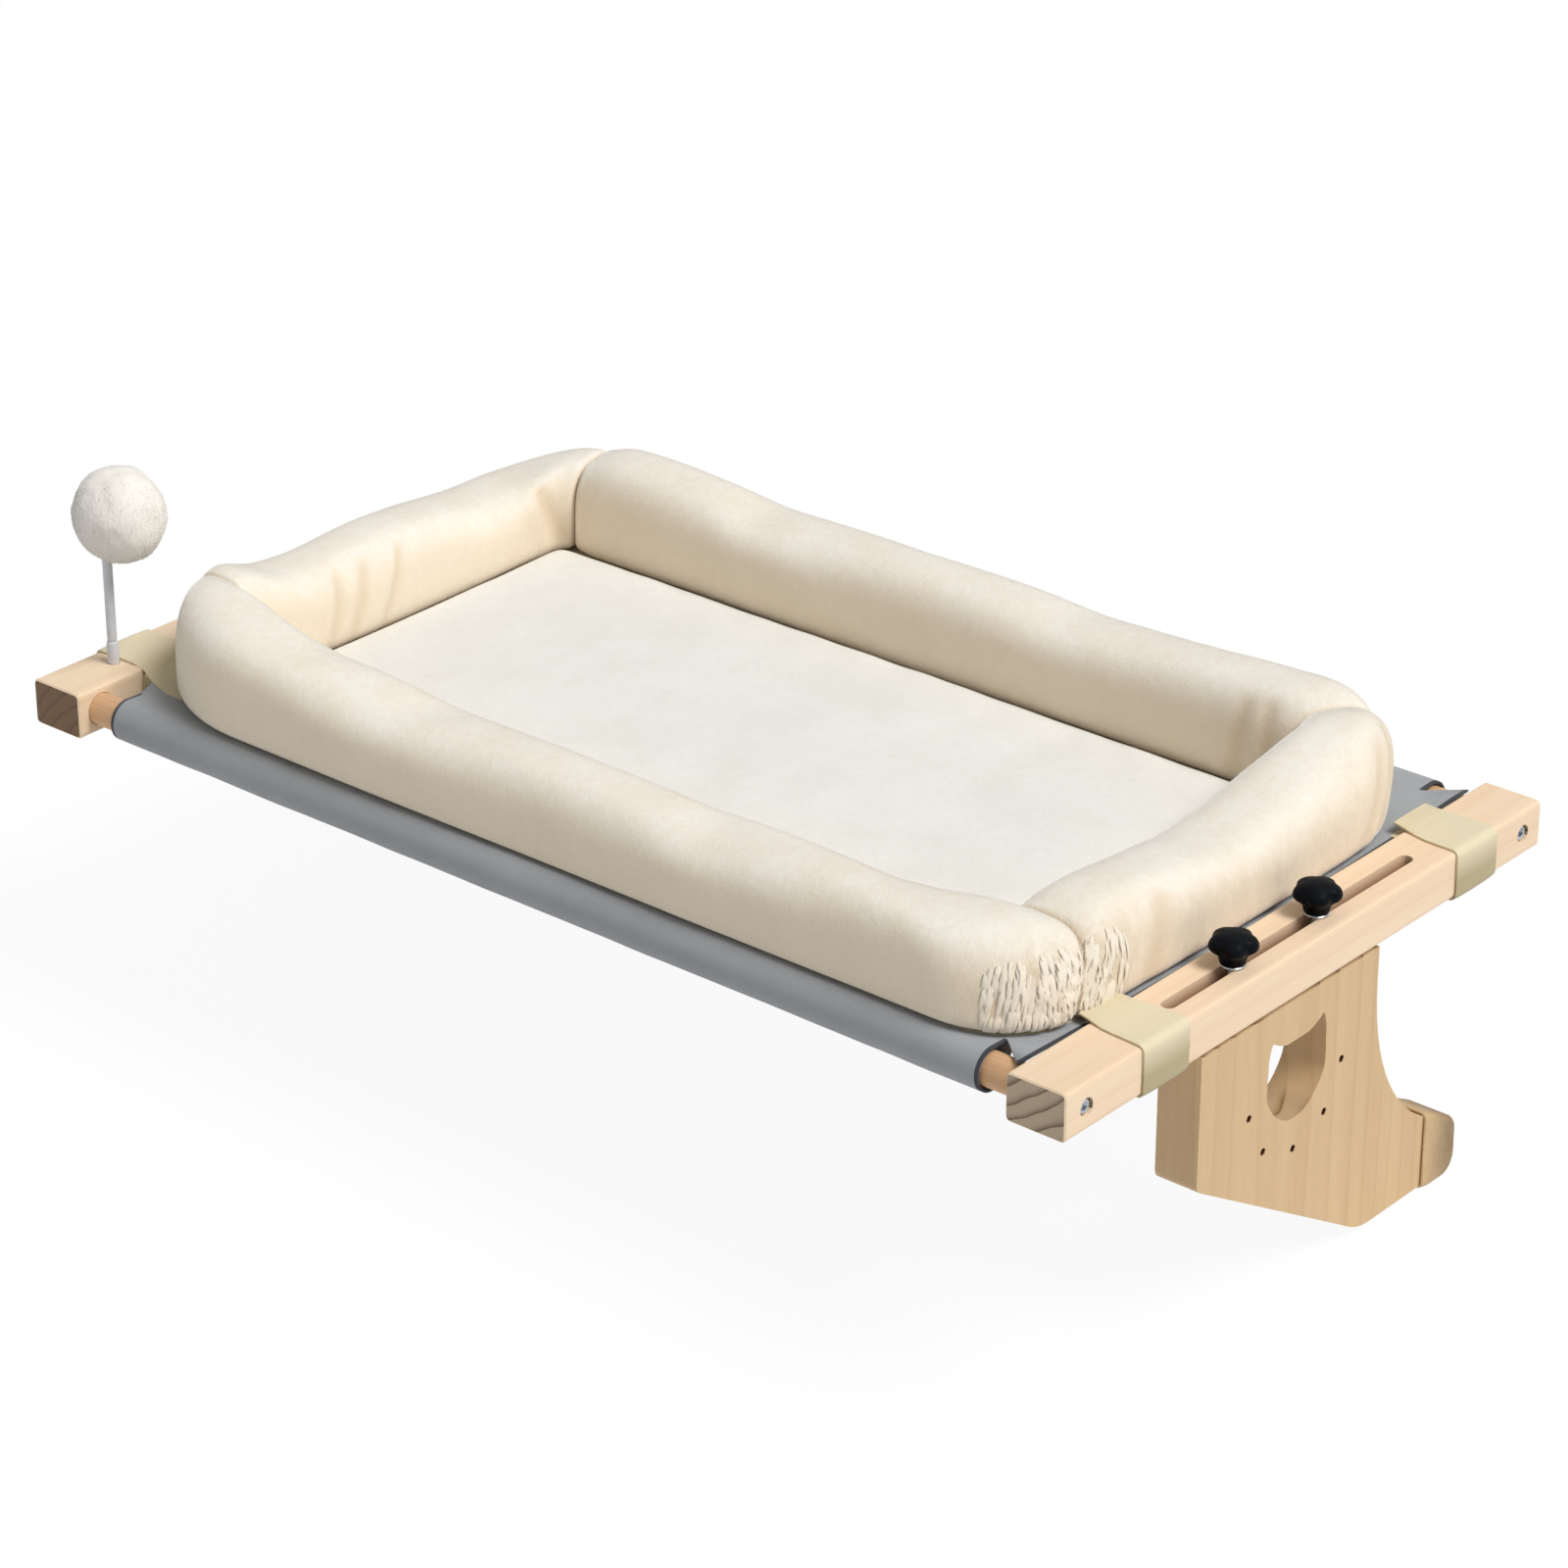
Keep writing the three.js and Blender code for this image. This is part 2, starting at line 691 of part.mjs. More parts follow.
// Base pad inside the rim: crowned, with its edge drawn in
function makePad() {
  const halfX = bedHalfX - bolsterWidth - 2 * seatGap;
  const halfY = bedHalfY - bolsterWidth - 2 * seatGap;
  const spreadShares = [0.25, 0.5, 0.75, 0.92];
  const turnShares = [0, 0.5, 1];
  const outline = (inset) => rimPoints(halfX - inset, halfY - inset, bedInnerCornerRadius);
  const crown = (x, y) => padCrown * (1 - (x / halfX) ** 2) * (1 - (y / halfY) ** 2);
  const inner = outline(padEdgeRadius);
  const under = [...spreadShares, 1].map((share) =>
    inner.map(([x, y]) => bedPoint(x * share, y * share, 0)),
  );
  const edgeRings = turnShares.map((turnShare) => {
    const angle = (turnShare * Math.PI) / 2;
    const inset = padEdgeRadius * (1 - Math.cos(angle));
    const rise = padEdgeHeight - padEdgeRadius * (1 - Math.sin(angle));
    return outline(inset).map(([x, y]) => bedPoint(x, y, rise + crown(x, y)));
  });
  const over = [...spreadShares].reverse().map((share) =>
    inner.map(([plainX, plainY]) => {
      const x = plainX * share;
      const y = plainY * share;
      return bedPoint(x, y, padEdgeHeight + crown(x, y));
    }),
  );
  const rings = [...under, ...edgeRings, ...over];
  const bottomCentre = bedPoint(0, 0, 0);
  const topCentre = bedPoint(0, 0, padEdgeHeight + padCrown);
  return [part("base_pad", closedRings(rings, bottomCentre, topCentre), padPlush)];
}

// Strap: a band sewn to the bed above the rail, over the rail, round it and back to the
// bed's bottom cloth. It is drawn for the right rail, its outline in x and z.
function strapGeometry() {
  const near = seatGap;
  const far = seatGap + strapThickness;
  const inner = railInnerFace;
  const outer = frameWidth / 2;
  const cloth = bedHalfX + seatGap;
  const slope = Math.hypot(strapFlapRun, strapFlapRise);
  const slopeX = (strapThickness * strapFlapRise) / slope;
  const slopeZ = (strapThickness * strapFlapRun) / slope;
  const bend = cloth + strapFlapRun;
  const tailTop = slingTop(rearStrapCentre) + bedFloorLift - seatGap;
  const shape = roundedOutline([
    [cloth, railHeight + near + strapFlapRise, 0],
    [bend, railHeight + near, 0],
    [outer + near, railHeight + near, strapBendRadius],
    [outer + near, -near, strapBendRadius],
    [inner - near, -near, strapBendRadius],
    [inner - near, tailTop, 0],
    [bottomHalfX + seatGap, tailTop, 0],
    [bottomHalfX + seatGap, tailTop - strapThickness, 0],
    [inner - far, tailTop - strapThickness, 0],
    [inner - far, -far, strapBendRadius + strapThickness],
    [outer + far, -far, strapBendRadius + strapThickness],
    [outer + far, railHeight + far, strapBendRadius + strapThickness],
    [bend + slopeX / 2, railHeight + far, 0],
    [cloth + slopeX, railHeight + near + strapFlapRise + slopeZ, 0],
  ]);
  return extrudeY(shape, -strapWidth / 2, strapWidth / 2);
}

function makeStraps() {
  const right = strapGeometry();
  const left = strapGeometry().rotateZ(Math.PI);
  return [
    part("left_front_strap", translated(left, 0, leftFrontStrapCentre, 0), webbing),
    part("left_back_strap", translated(left, 0, rearStrapCentre, 0), webbing),
    part("right_front_strap", translated(right, 0, rightFrontStrapCentre, 0), webbing),
    part("right_back_strap", translated(right, 0, rearStrapCentre, 0), webbing),
  ];
}

// Corners of a foot's tip, grown outwards by a margin: the sole, the back face and the
// sloping top, cut off at a front line
function tipCorners(margin, front) {
  const backStart = footBack;
  const run = legReach - footTopStart;
  const slope = (footTopEndDrop - footTopStartDrop) / run;
  const lift = margin * Math.hypot(1, slope);
  const topAt = (y) => -footTopEndDrop + (backStart - y) * slope + lift;
  const tipRadius = footTipRadius + margin;
  return [
    [front, -legHeight - margin, 0],
    [backStart + margin, -legHeight - margin, tipRadius],
    [backStart + margin, topAt(backStart + margin), tipRadius],
    [front, topAt(front), 0],
  ];
}

// Outline of a leg from the side, in y and z, about the middle of its two screws
function legOutline() {
  const front = -legFrontToCentre;
  const top = -seatGap;
  const neck = front + legTopLength;
  const footTop = front + footTopStart;
  const knee = front + legSlopeLength;
  const slope = new THREE.Vector2(legSlopeLength, legFrontHeight - legHeight).normalize();
  const toe = footBack;
  const shape = new THREE.Shape();
  shape.moveTo(front, top);
  shape.lineTo(front, -legFrontHeight + legFrontCornerRadius);
  shape.quadraticCurveTo(
    front,
    -legFrontHeight,
    front + slope.x * legFrontCornerRadius,
    -legFrontHeight + slope.y * legFrontCornerRadius,
  );
  shape.lineTo(knee - slope.x * legBottomRadius, -legHeight - slope.y * legBottomRadius);
  shape.quadraticCurveTo(knee, -legHeight, knee + legBottomRadius, -legHeight);
  shape.lineTo(toe - footTipRadius, -legHeight);
  shape.quadraticCurveTo(toe, -legHeight, toe, -legHeight + footTipRadius);
  const run = legReach - footTopStart;
  const drop = footTopEndDrop - footTopStartDrop;
  const along = new THREE.Vector2(-run, drop).normalize();
  shape.lineTo(toe, -footTopEndDrop - footTipRadius);
  shape.quadraticCurveTo(
    toe,
    -footTopEndDrop,
    toe + along.x * footTipRadius,
    -footTopEndDrop + along.y * footTipRadius,
  );
  shape.lineTo(footTop, -footTopStartDrop);
  shape.bezierCurveTo(
    footTop - footCurveRun,
    -footTopStartDrop + footCurveRise,
    neck,
    -neckStraightHeight - neckBendHeight,
    neck,
    -neckStraightHeight,
  );
  shape.lineTo(neck, top);
  shape.closePath();
  return shape;
}

// A cat's head with two ears, about its own centre. Shares are of its half width and
// half height, on the right half from the brow to the chin.
function headOutline() {
  const rightShares = [
    [0.36, 0.8],
    [0.62, 0.86],
    [0.98, 0.42],
    [1, 0.1],
    [0.96, -0.3],
    [0.66, -0.72],
    [0.3, -0.96],
  ];
  const earTipShare = 0.86;
  const fromShares = ([x, y]) => new THREE.Vector2(x * headHalfWidth, y * headHalfHeight);
  const rightHalf = rightShares.map(fromShares);
  const earTop = headHalfHeight * rightShares[0][1] + earHeight;
  const ear = new THREE.Vector2(earTipShare * headHalfWidth, earTop);
  const mirrored = (p) => new THREE.Vector2(-p.x, p.y);
  const [brow, earFoot, ...cheek] = rightHalf;
  const chin = new THREE.Vector2(0, -headHalfHeight);
  const leftCheek = [...cheek].reverse().map(mirrored);
  const shape = new THREE.Shape();
  shape.moveTo(-brow.x, brow.y);
  shape.lineTo(brow.x, brow.y);
  shape.quadraticCurveTo(earFoot.x, earFoot.y, ear.x, ear.y);
  shape.quadraticCurveTo(headHalfWidth, ear.y - earHeight, cheek[0].x, cheek[0].y);
  shape.splineThru([...cheek.slice(1), chin, ...leftCheek]);
  shape.quadraticCurveTo(-headHalfWidth, ear.y - earHeight, -ear.x, ear.y);
  shape.quadraticCurveTo(-earFoot.x, earFoot.y, -brow.x, brow.y);
  shape.closePath();
  return shape;
}

// Leg: drawn for the right rail about the middle of its two screws
function legGeometry() {
  const low = legCentreX - legThickness / 2;
  const high = legCentreX + legThickness / 2;
  const board = extrudeX(legOutline(), low, high, legSteps);
  const head = extrudeX(headOutline(), low - cutOverrun, high + cutOverrun, headSteps);
  const tools = [translated(head, 0, headOffset, -headCentreDrop)];
  const arcMarginShare = 0.2;
  for (let i = 0; i < holeCount; i += 1) {
    const angle = (-Math.PI * (i + arcMarginShare)) / (holeCount - 1 + 2 * arcMarginShare);
    const y = headOffset + holeArcRadius * Math.cos(angle);
    const z = -holeArcDrop + holeArcRadius * Math.sin(angle);
    const hole = barX(holeDiameter / 2, high - holeDepth, high + cutOverrun, curveSteps);
    tools.push(translated(hole, 0, y, z));
  }
  for (const side of [-1, 1]) {
    const bore = barZ(insertDiameter / 2 + seatGap, -insertBoreDepth, cutOverrun, roundSteps);
    tools.push(translated(bore, slotCentre, (side * studSpacing) / 2, 0));
  }
  return subtractAll(board, tools);
}

// Cover that wraps the tip of a foot where it leans on the wall
function coverGeometry() {
  const front = footBack - coverLength;
  const low = legCentreX - legThickness / 2 - seatGap;
  const high = legCentreX + legThickness / 2 + seatGap;
  const skin = roundedOutline(tipCorners(seatGap + coverThickness, front));
  const room = roundedOutline(tipCorners(seatGap, front - cutOverrun));
  const whole = extrudeX(skin, low - coverThickness, high + coverThickness);
  return subtractAll(whole, [extrudeX(room, low, high)]);
}

// Turns a geometry drawn for the right rail into the left one's mirror image
function mirroredX(geometry) {
  const flat = geometry.index ? geometry.toNonIndexed() : geometry.clone();
  flat.scale(-1, 1, 1);
  const position = flat.attributes.position;
  for (let i = 0; i < position.count; i += 3) {
    const first = new THREE.Vector3().fromBufferAttribute(position, i);
    const second = new THREE.Vector3().fromBufferAttribute(position, i + 1);
    position.setXYZ(i, second.x, second.y, second.z);
    position.setXYZ(i + 1, first.x, first.y, first.z);
  }
  flat.computeVertexNormals();
  return flat;
}

// Stud: a threaded rod moulded into the knob above the rail, down into the insert
function studGeometry() {
  const radius = studDiameter / 2;
  const chamfer = radius / 3;
  const top = knobBottom() + studInKnob;
  return turned(
    [
      [0, -studBelowRail],
      [radius - chamfer, -studBelowRail],
      [radius, chamfer - studBelowRail],
      [radius, top],
      [0, top],
    ],
    roundSteps,
  );
}

function knobBottom() {
  return railHeight + washerThickness + 2 * seatGap;
}

// Knob: a hub that widens into a domed head with lobes
function knobGeometry() {
  const perRing = knobLobeCount * 5;
  const lobeShare = 0.075;
  const lobeBiasShare = 0.3;
  const lobeTurnShare = 0.31;
  const levelShares = [
    [0, 0.54, 0],
    [0.1, 0.6, 0],
    [0.32, 0.68, 0.1],
    [0.45, 0.86, 0.8],
    [0.58, 0.96, 1],
    [0.76, 0.92, 1],
    [0.91, 0.7, 0.7],
    [0.98, 0.4, 0.2],
  ];
  const radius = knobDiameter / 2;
  const rings = levelShares.map(([heightShare, radiusShare, lobing]) =>
    Array.from({ length: perRing }, (_, j) => {
      const angle = (2 * Math.PI * j) / perRing;
      const lobe = 1 + lobeShare * lobing * (Math.cos(knobLobeCount * angle) - lobeBiasShare);
      const r = radius * radiusShare * lobe;
      return [r * Math.cos(angle), r * Math.sin(angle), heightShare * knobHeight];
    }),
  );
  const lobeTurn = (2 * Math.PI * lobeTurnShare) / knobLobeCount;
  const head = closedRings(rings, [0, 0, 0], [0, 0, knobHeight]).rotateZ(lobeTurn);
  const bore = barZ(studDiameter / 2 + seatGap, -cutOverrun, studInKnob + seatGap, roundSteps);
  return translated(subtractAll(head, [bore]), 0, 0, knobBottom());
}

function washerGeometry() {
  const low = railHeight + seatGap;
  const high = low + washerThickness;
  const disc = barZ(washerDiameter / 2, low, high, roundSteps);
  const boreRadius = studDiameter / 2 + seatGap;
  const bore = barZ(boreRadius, low - cutOverrun, high + cutOverrun, roundSteps);
  return subtractAll(disc, [bore]);
}

function insertGeometry() {
  const top = -2 * seatGap;
  const sleeve = barZ(insertDiameter / 2, top - insertLength, top, roundSteps);
  const threadRadius = studDiameter / 2 + seatGap;
  const threadFloor = top - insertLength - cutOverrun;
  const thread = barZ(threadRadius, threadFloor, top + cutOverrun, roundSteps);
  return subtractAll(sleeve, [thread]);
}

// One leg with its cover, and its two clamping screws
function makeLegSet(sideName, centre, mirror) {
  const side = (geometry) => (mirror ? mirroredX(geometry) : geometry);
  const group = new THREE.Group();
  group.position.set(0, centre, 0);
  group.add(part(`${sideName}_leg`, side(legGeometry()), legWood));
  group.add(part(`${sideName}_foot_cover`, side(coverGeometry()), feltBrown));
  for (const [endName, end] of [["front", -1], ["back", 1]]) {
    const screw = new THREE.Group();
    screw.position.set(mirror ? -slotCentre : slotCentre, (end * studSpacing) / 2, 0);
    screw.add(part(`${sideName}_${endName}_insert`, insertGeometry(), brass));
    screw.add(part(`${sideName}_${endName}_washer`, washerGeometry(), zincSteel));
    screw.add(part(`${sideName}_${endName}_stud`, studGeometry(), zincSteel));
    screw.add(part(`${sideName}_${endName}_knob`, knobGeometry(), blackPlastic));
    group.add(screw);
  }
  return group;
}

// Toy: a flexible stem in a socket on the left rail, with a plush ball on its tip
function makeToy() {
  const group = new THREE.Group();
  group.position.set(-railCentre, toyY, railHeight);
  const outer = socketDiameter / 2;
  const neck = stemNeckDiameter / 2;
  const stemRadius = stemDiameter / 2;
  const sleeve = turned(
    [
      [0, -socketDepth],
      [outer, -socketDepth],
      [outer, socketHeight - (outer - stemRadius)],
      [stemRadius, socketHeight],
      [0, socketHeight],
    ],
    roundSteps,
  );
  const boreFloor = socketHeight - stemNeckLength - seatGap;
  const bore = barZ(neck + seatGap, boreFloor, socketHeight + cutOverrun, roundSteps);
  group.add(part("toy_socket", subtractAll(sleeve, [bore]), greyPlastic));
  const stem = turned(
    [
      [0, socketHeight - stemNeckLength],
      [neck, socketHeight - stemNeckLength],
      [neck, socketHeight + seatGap],
      [stemRadius, socketHeight + seatGap],
      [stemRadius, stemTopHeight],
      [0, stemTopHeight],
    ],
    roundSteps,
  );
  group.add(part("toy_stem", stem, greyPlastic));
  const ball = new THREE.SphereGeometry(ballWidth / 2, fineSteps, fineSteps / 2);
  ball.rotateX(Math.PI / 2);
  ball.scale(1, 1, ballHeight / ballWidth);
  ball.translate(ballOffsetX, ballOffsetY, ballCentreHeight);
  const stemRoom = barZ(stemRadius + seatGap, 0, stemTopHeight + seatGap, roundSteps);
  group.add(part("toy_ball", subtractAll(ball, [stemRoom]), ballPlush));
  return group;
}

const bed = new THREE.Group();
bed.add(...makeRails());
bed.add(...makeTubes());
bed.add(...makeTubeScrews());
bed.add(...makeSling());
bed.add(...makeBottom());
bed.add(...makeBolsters());
bed.add(...makePad());
bed.add(...makeStraps());
bed.add(makeLegSet("left", leftLegCentre, true));
bed.add(makeLegSet("right", rightLegCentre, false));
bed.add(makeToy());

export default bed;
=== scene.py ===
import math
import random

import bpy
import numpy as np
from mathutils import Matrix, Vector, noise
from mathutils.bvhtree import BVHTree


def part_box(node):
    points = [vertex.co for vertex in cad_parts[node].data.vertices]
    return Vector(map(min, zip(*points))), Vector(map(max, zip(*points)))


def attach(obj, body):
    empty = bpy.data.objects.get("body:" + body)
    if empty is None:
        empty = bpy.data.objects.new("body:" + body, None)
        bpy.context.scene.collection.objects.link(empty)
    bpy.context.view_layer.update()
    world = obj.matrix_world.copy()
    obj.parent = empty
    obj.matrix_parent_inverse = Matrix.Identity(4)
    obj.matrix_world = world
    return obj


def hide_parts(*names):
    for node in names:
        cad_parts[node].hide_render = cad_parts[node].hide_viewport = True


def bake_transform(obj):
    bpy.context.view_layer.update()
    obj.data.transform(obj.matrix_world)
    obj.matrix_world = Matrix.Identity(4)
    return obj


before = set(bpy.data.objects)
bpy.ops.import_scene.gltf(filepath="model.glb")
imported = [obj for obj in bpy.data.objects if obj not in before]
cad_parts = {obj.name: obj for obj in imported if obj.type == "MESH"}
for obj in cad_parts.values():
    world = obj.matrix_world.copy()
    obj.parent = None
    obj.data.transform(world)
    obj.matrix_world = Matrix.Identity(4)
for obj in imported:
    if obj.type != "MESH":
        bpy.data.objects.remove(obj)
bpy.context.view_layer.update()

MM = 0.001


def mm(*values):
    """Lengths given in millimetres, as a list in metres."""
    return [value * MM for value in values]


# Camera: its place, the direction from the object to it, its right-hand side and its lens
CAMERA_PLACE = Vector((1.5291, -1.7866, 1.1514))
CAMERA_BACK = Vector((0.5815, -0.6843, 0.4401))
CAMERA_RIGHT = Vector((0.7620, 0.6476, 0))
CAMERA_LENS = 113.86
CAMERA_SENSOR = 36
CAMERA_REACH = 100

# Light and floor
WHITE = (1, 1, 1, 1)
WORLD_LEVEL = 0.3
SUN_LEVEL = 2.5
SUN_TOWARDS = Vector((0.56, 0.1, 0.82))
SUN_SPREAD = math.radians(28)
FLOOR_SIZE = 24
FLOOR_DROP = 1 * MM
FLOOR_GREY = 0.82
FLOOR_GLOW = 0.93
FLOOR_SHADE = 1.05

# Sling, as in the solids
SLING_SAG = 4 * MM
SLING_THICKNESS = 1.2 * MM
SEAT_GAP = 0.3 * MM
BED_FLOOR_LIFT = 1.6 * MM
SLEEVE_HALF = 295 * MM
PANEL_HALF_Y = 168 * MM
RIGHT_PANEL_HALF_Y = 189 * MM
LEFT_PANEL_HALF_Y = 132 * MM
PANEL_GAP = 1.8 * MM
TAPE_WIDTH = 2 * MM
HEM_DROP = 6 * MM
SLEEVE_TURNS = 40
HEM_STEPS = 6

# Bed. The rim's corners go round from the front left one by the front right, the back
# right and the back left. Each side's heights lie evenly between its two corners.
SIDES = ("front", "right", "back", "left")
BOLSTER_WIDTH = 58 * MM
RIM_INNER_RADII = mm(12, 12, 16, 12)
RIM_FOOT_RADII = mm(98, 50, 84, 60)
RIM_TOP_RADII = mm(103, 65, 76, 75)
RIM_HEIGHTS = {
    "front": mm(67, 57.5, 48, 47.3, 46.3, 49.5, 52.5),
    "right": mm(52.5, 52, 49, 47, 51, 58.5, 60),
    "back": mm(60, 57.5, 55, 53, 52.8, 53.4, 53.6, 53.5, 53.2, 54.2, 57.5, 59.3, 59),
    "left": mm(59, 51.5, 46, 45.5, 48, 51, 52.2, 51.6, 50.8, 51.5, 54, 60, 67),
}
# Degrees at which the side that ends at a corner meets its seam, on the inner and on the
# outer arc. The next side starts from there.
RIM_SEAMS = ((50, 22), (45, 86), (62, 55), (16, 14))
SEAM_OVERLAP = 1.2 * MM
PINCH_LENGTH = 20 * MM
BOLSTER_SWELL = 6 * MM
MESH_STEP = 5 * MM
SECTION_STEPS = 44

# Folds of a side: place along it from its middle, width and depth in millimetres, lean
# with height, and the face: 1 for the inner one and -1 for the outer one
FOLDS = {
    "left": (
        (10, 3.4, 1.5, -0.46, 1),
        (54, 4, 1.6, -0.3, 1),
        (36, 5, 0.8, -0.4, 1),
        (-114, 5, 2.2, 0.3, 1),
        (112, 6, 1.4, 0.5, 1),
    ),
    "back": ((-236, 5, 1.1, 0.1, 1), (-218, 6, 0.8, -0.1, 1)),
    "right": ((-70, 7, 1.0, 0.4, -1), (112, 6, 1.3, 0.6, -1), (128, 4, 1.1, 0.6, -1)),
}
FOLD_HEIGHT = 25 * MM

# Pile worked loose: where it starts along the front side, how far along the right one it
# goes, the length over which it fades, and how much of it there is along the right side
LOOSE_FROM = 268 * MM
RIGHT_LOOSE_TO = -90 * MM
LOOSE_FADE = 32 * MM
RIGHT_LOOSE_SHARE = 0.35

# Loose locks: how many are tried on each side, their least and most length and width
FUR_TRIES = {"front": 210, "right": 80}
FUR_LENGTHS = mm(14, 27)
FUR_WIDTHS = mm(1.2, 2.6)
FUR_SECTION_SHARES = ((-1, 0), (-0.55, 0.16), (0, 0.22), (0.55, 0.16), (1, 0), (0, -0.3))
FUR_LEVELS = 12
FUR_ARCH = 1.1 * MM
FUR_ROOT_DEPTH = 0.6 * MM
FUR_FROM_SEAM = 2 * MM
FUR_FROM_FLOOR = 9 * MM

# Pad and bottom cloth
PAD_CORNER_RADIUS = 9 * MM
PAD_EDGE = 6 * MM
PAD_CROWN = 4.2 * MM
PAD_SWELL = 3 * MM
BOTTOM_CORNER_RADII = mm(104, 40, 90, 74)
BOTTOM_TUCK = 4 * MM
BOTTOM_THICKNESS = 1 * MM

# Strap
STRAP_WIDTH = 36 * MM
STRAP_THICKNESS = 1.5 * MM
STRAP_FLAP_RUN = 9 * MM
STRAP_FLAP_RISE = 1.6 * MM
STRAP_FLAP_END = 3.5 * MM
STRAP_FLAP_RADIUS = 5 * MM
STRAP_BEND_RADIUS = 3.8 * MM
STRAP_END_RADIUS = 1.2 * MM
STRAP_END_DEPTH = 1.5 * MM
STRAP_END_TUCK = 2.6 * MM
STRAP_STEP = 1.5 * MM
STRAP_TONGUES = {("left", "front"): 40 * MM}
TONGUE_FLARE = 18 * MM

# Rail's slot: half its length, and where the painted shade on its walls starts and is darkest,
# from its middle line and from its top
SLOT_HALF = 104 * MM
SLOT_SHADE_OFFS = mm(4.6, 4.1)
SLOT_SHADE_DEPTHS = mm(1, 9)

# Small holes in a leg: the arc on which they lie, and the depths between which their walls
# are painted dark as shade
HOLE_ARC_FROM_FRONT = 81 * MM
HOLE_ARC_Z = -46 * MM
HOLE_ARC_RADIUS = 39.6 * MM
HOLE_ARC_SPREAD = 5 * MM
HOLE_SHADE_FROM = 0.5 * MM
HOLE_SHADE_TO = 13 * MM

# Foot cover
FELT_THICKNESS = 1 * MM
FELT_EDGE_RADIUS = 2.2 * MM
FOOT_BACK_RADIUS = 10 * MM
FOOT_TOP_SLOPE = 0.505

# Screws, washers and knobs
KNOB_RADIUS = 12 * MM
KNOB_LOBES = 5
KNOB_LOBE_SHARE = 0.085
KNOB_STEPS = 90
KNOB_TURNS = {"right": math.radians(22.4), "left": math.radians(157.6)}
THREAD_PITCH = 1 * MM
THREAD_RADIUS = 3 * MM
THREAD_DEPTH = 0.55 * MM
THREAD_LEVELS = 8
THREAD_STEPS = 24
WASHER_BORE_RADIUS = 3.4 * MM
WASHER_CHAMFER = 0.25 * MM
WASHER_STEPS = 56
CAP_HEIGHT = 4.7 * MM
CAP_SHANK_RADIUS = 2.5 * MM
CAP_SOCKET_REACH = 2.1 * MM
CAP_SOCKET_DEPTH = 2.5 * MM
KNURLS = 36
KNURL_DEPTH = 0.12 * MM
CAP_STEPS = 144

# Toy: its stem, three heights on it, the middle one where its two halves meet, and its ball's
# pile
STEM_RADIUS = 2.7 * MM
STEM_NECK_RADIUS = 2.3 * MM
STEM_NECK_GAP = 0.15 * MM
STEM_NECK_DEPTH = 6 * MM
STEM_STEP = 1.5 * MM
STEM_IN_BALL = 14 * MM
STEM_STEPS = 40
STEM_BENDS = mm(43, 60, 79)
BALL_PILE_ROOM = 1.4 * MM
TUFT_COUNT = 9000
TUFT_LENGTH = 1.0 * MM
TUFT_WIDTH = 0.3 * MM

# Cloth simulation
SIM_FRAMES = 20
CLOTH_SETTINGS = {
    "quality": 6,
    "mass": 0.3,
    "use_pressure": True,
    "uniform_pressure_force": 4.0,
    "vertex_group_mass": "held",
    "tension_stiffness": 15,
    "compression_stiffness": 15,
    "shear_stiffness": 5,
    "bending_stiffness": 2.5,
    "shrink_min": -0.012,
}
EVEN_ROUNDS = 30

# Relief of the finishes
STREAK_RELIEF = 0.3 * MM
RING_RELIEF = 0.25 * MM
CLUMP_RELIEF = 0.9 * MM
LOCK_RELIEF = 2.5 * MM
FIBRE_RELIEF = 0.5 * MM
THREAD_RELIEF = 0.15 * MM
RIB_RELIEF = 0.25 * MM
FUZZ_RELIEF = 0.1 * MM
SCRATCH_RELIEF = 0.05 * MM
FELT_RELIEF = 0.25 * MM

# Marks on a bolster's mesh: the middle of a vertex's section, and its place and normal
# before the swelling
CORE_MARKS = ("core_x", "core_y", "core_z")
HOME_MARKS = ("home_x", "home_y", "home_z")
FACING_MARKS = ("facing_x", "facing_y", "facing_z")


def low(node):
    return Vector(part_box(node)[0])


def high(node):
    return Vector(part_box(node)[1])


def middle(node):
    return (low(node) + high(node)) / 2


def size(node):
    return high(node) - low(node)


def underside(node):
    """The middle of a node's underside."""
    x, y, _ = middle(node)
    return Vector((x, y, low(node).z))


RAIL_TOP = high("right_rail").z
RAIL_INNER = low("right_rail").x
RAIL_OUTER = high("right_rail").x
TUBE_Y = middle("back_tube").y
TUBE_Z = middle("back_tube").z
SLING_EDGE_Z = high("sling").z
SLEEVE_RADIUS = SLING_EDGE_Z - TUBE_Z
BED_HALF_X = high("right_bolster").x
BED_HALF_Y = (high("back_bolster").y - low("front_bolster").y) / 2
BED_SHIFT = (high("back_bolster").y + low("front_bolster").y) / 2
FLOOR_Z = low("right_foot_cover").z - FLOOR_DROP


def sling_top(y):
    share = min(1, abs(y) / TUBE_Y)
    return SLING_EDGE_Z - SLING_SAG * (1 - share * share)


def bed_floor(y):
    """Top of the bottom cloth at a depth measured from the bed's own middle."""
    return sling_top(y + BED_SHIFT) + BED_FLOOR_LIFT


def clipped(value):
    return min(1.0, max(0.0, value))


def bell(off, width):
    """1 in the middle of a soft bump, falling off to both sides."""
    return math.exp(-((off / width) ** 2))


# Meshes


def new_object(name, data):
    obj = bpy.data.objects.new(name, data)
    bpy.context.scene.collection.objects.link(obj)
    return obj


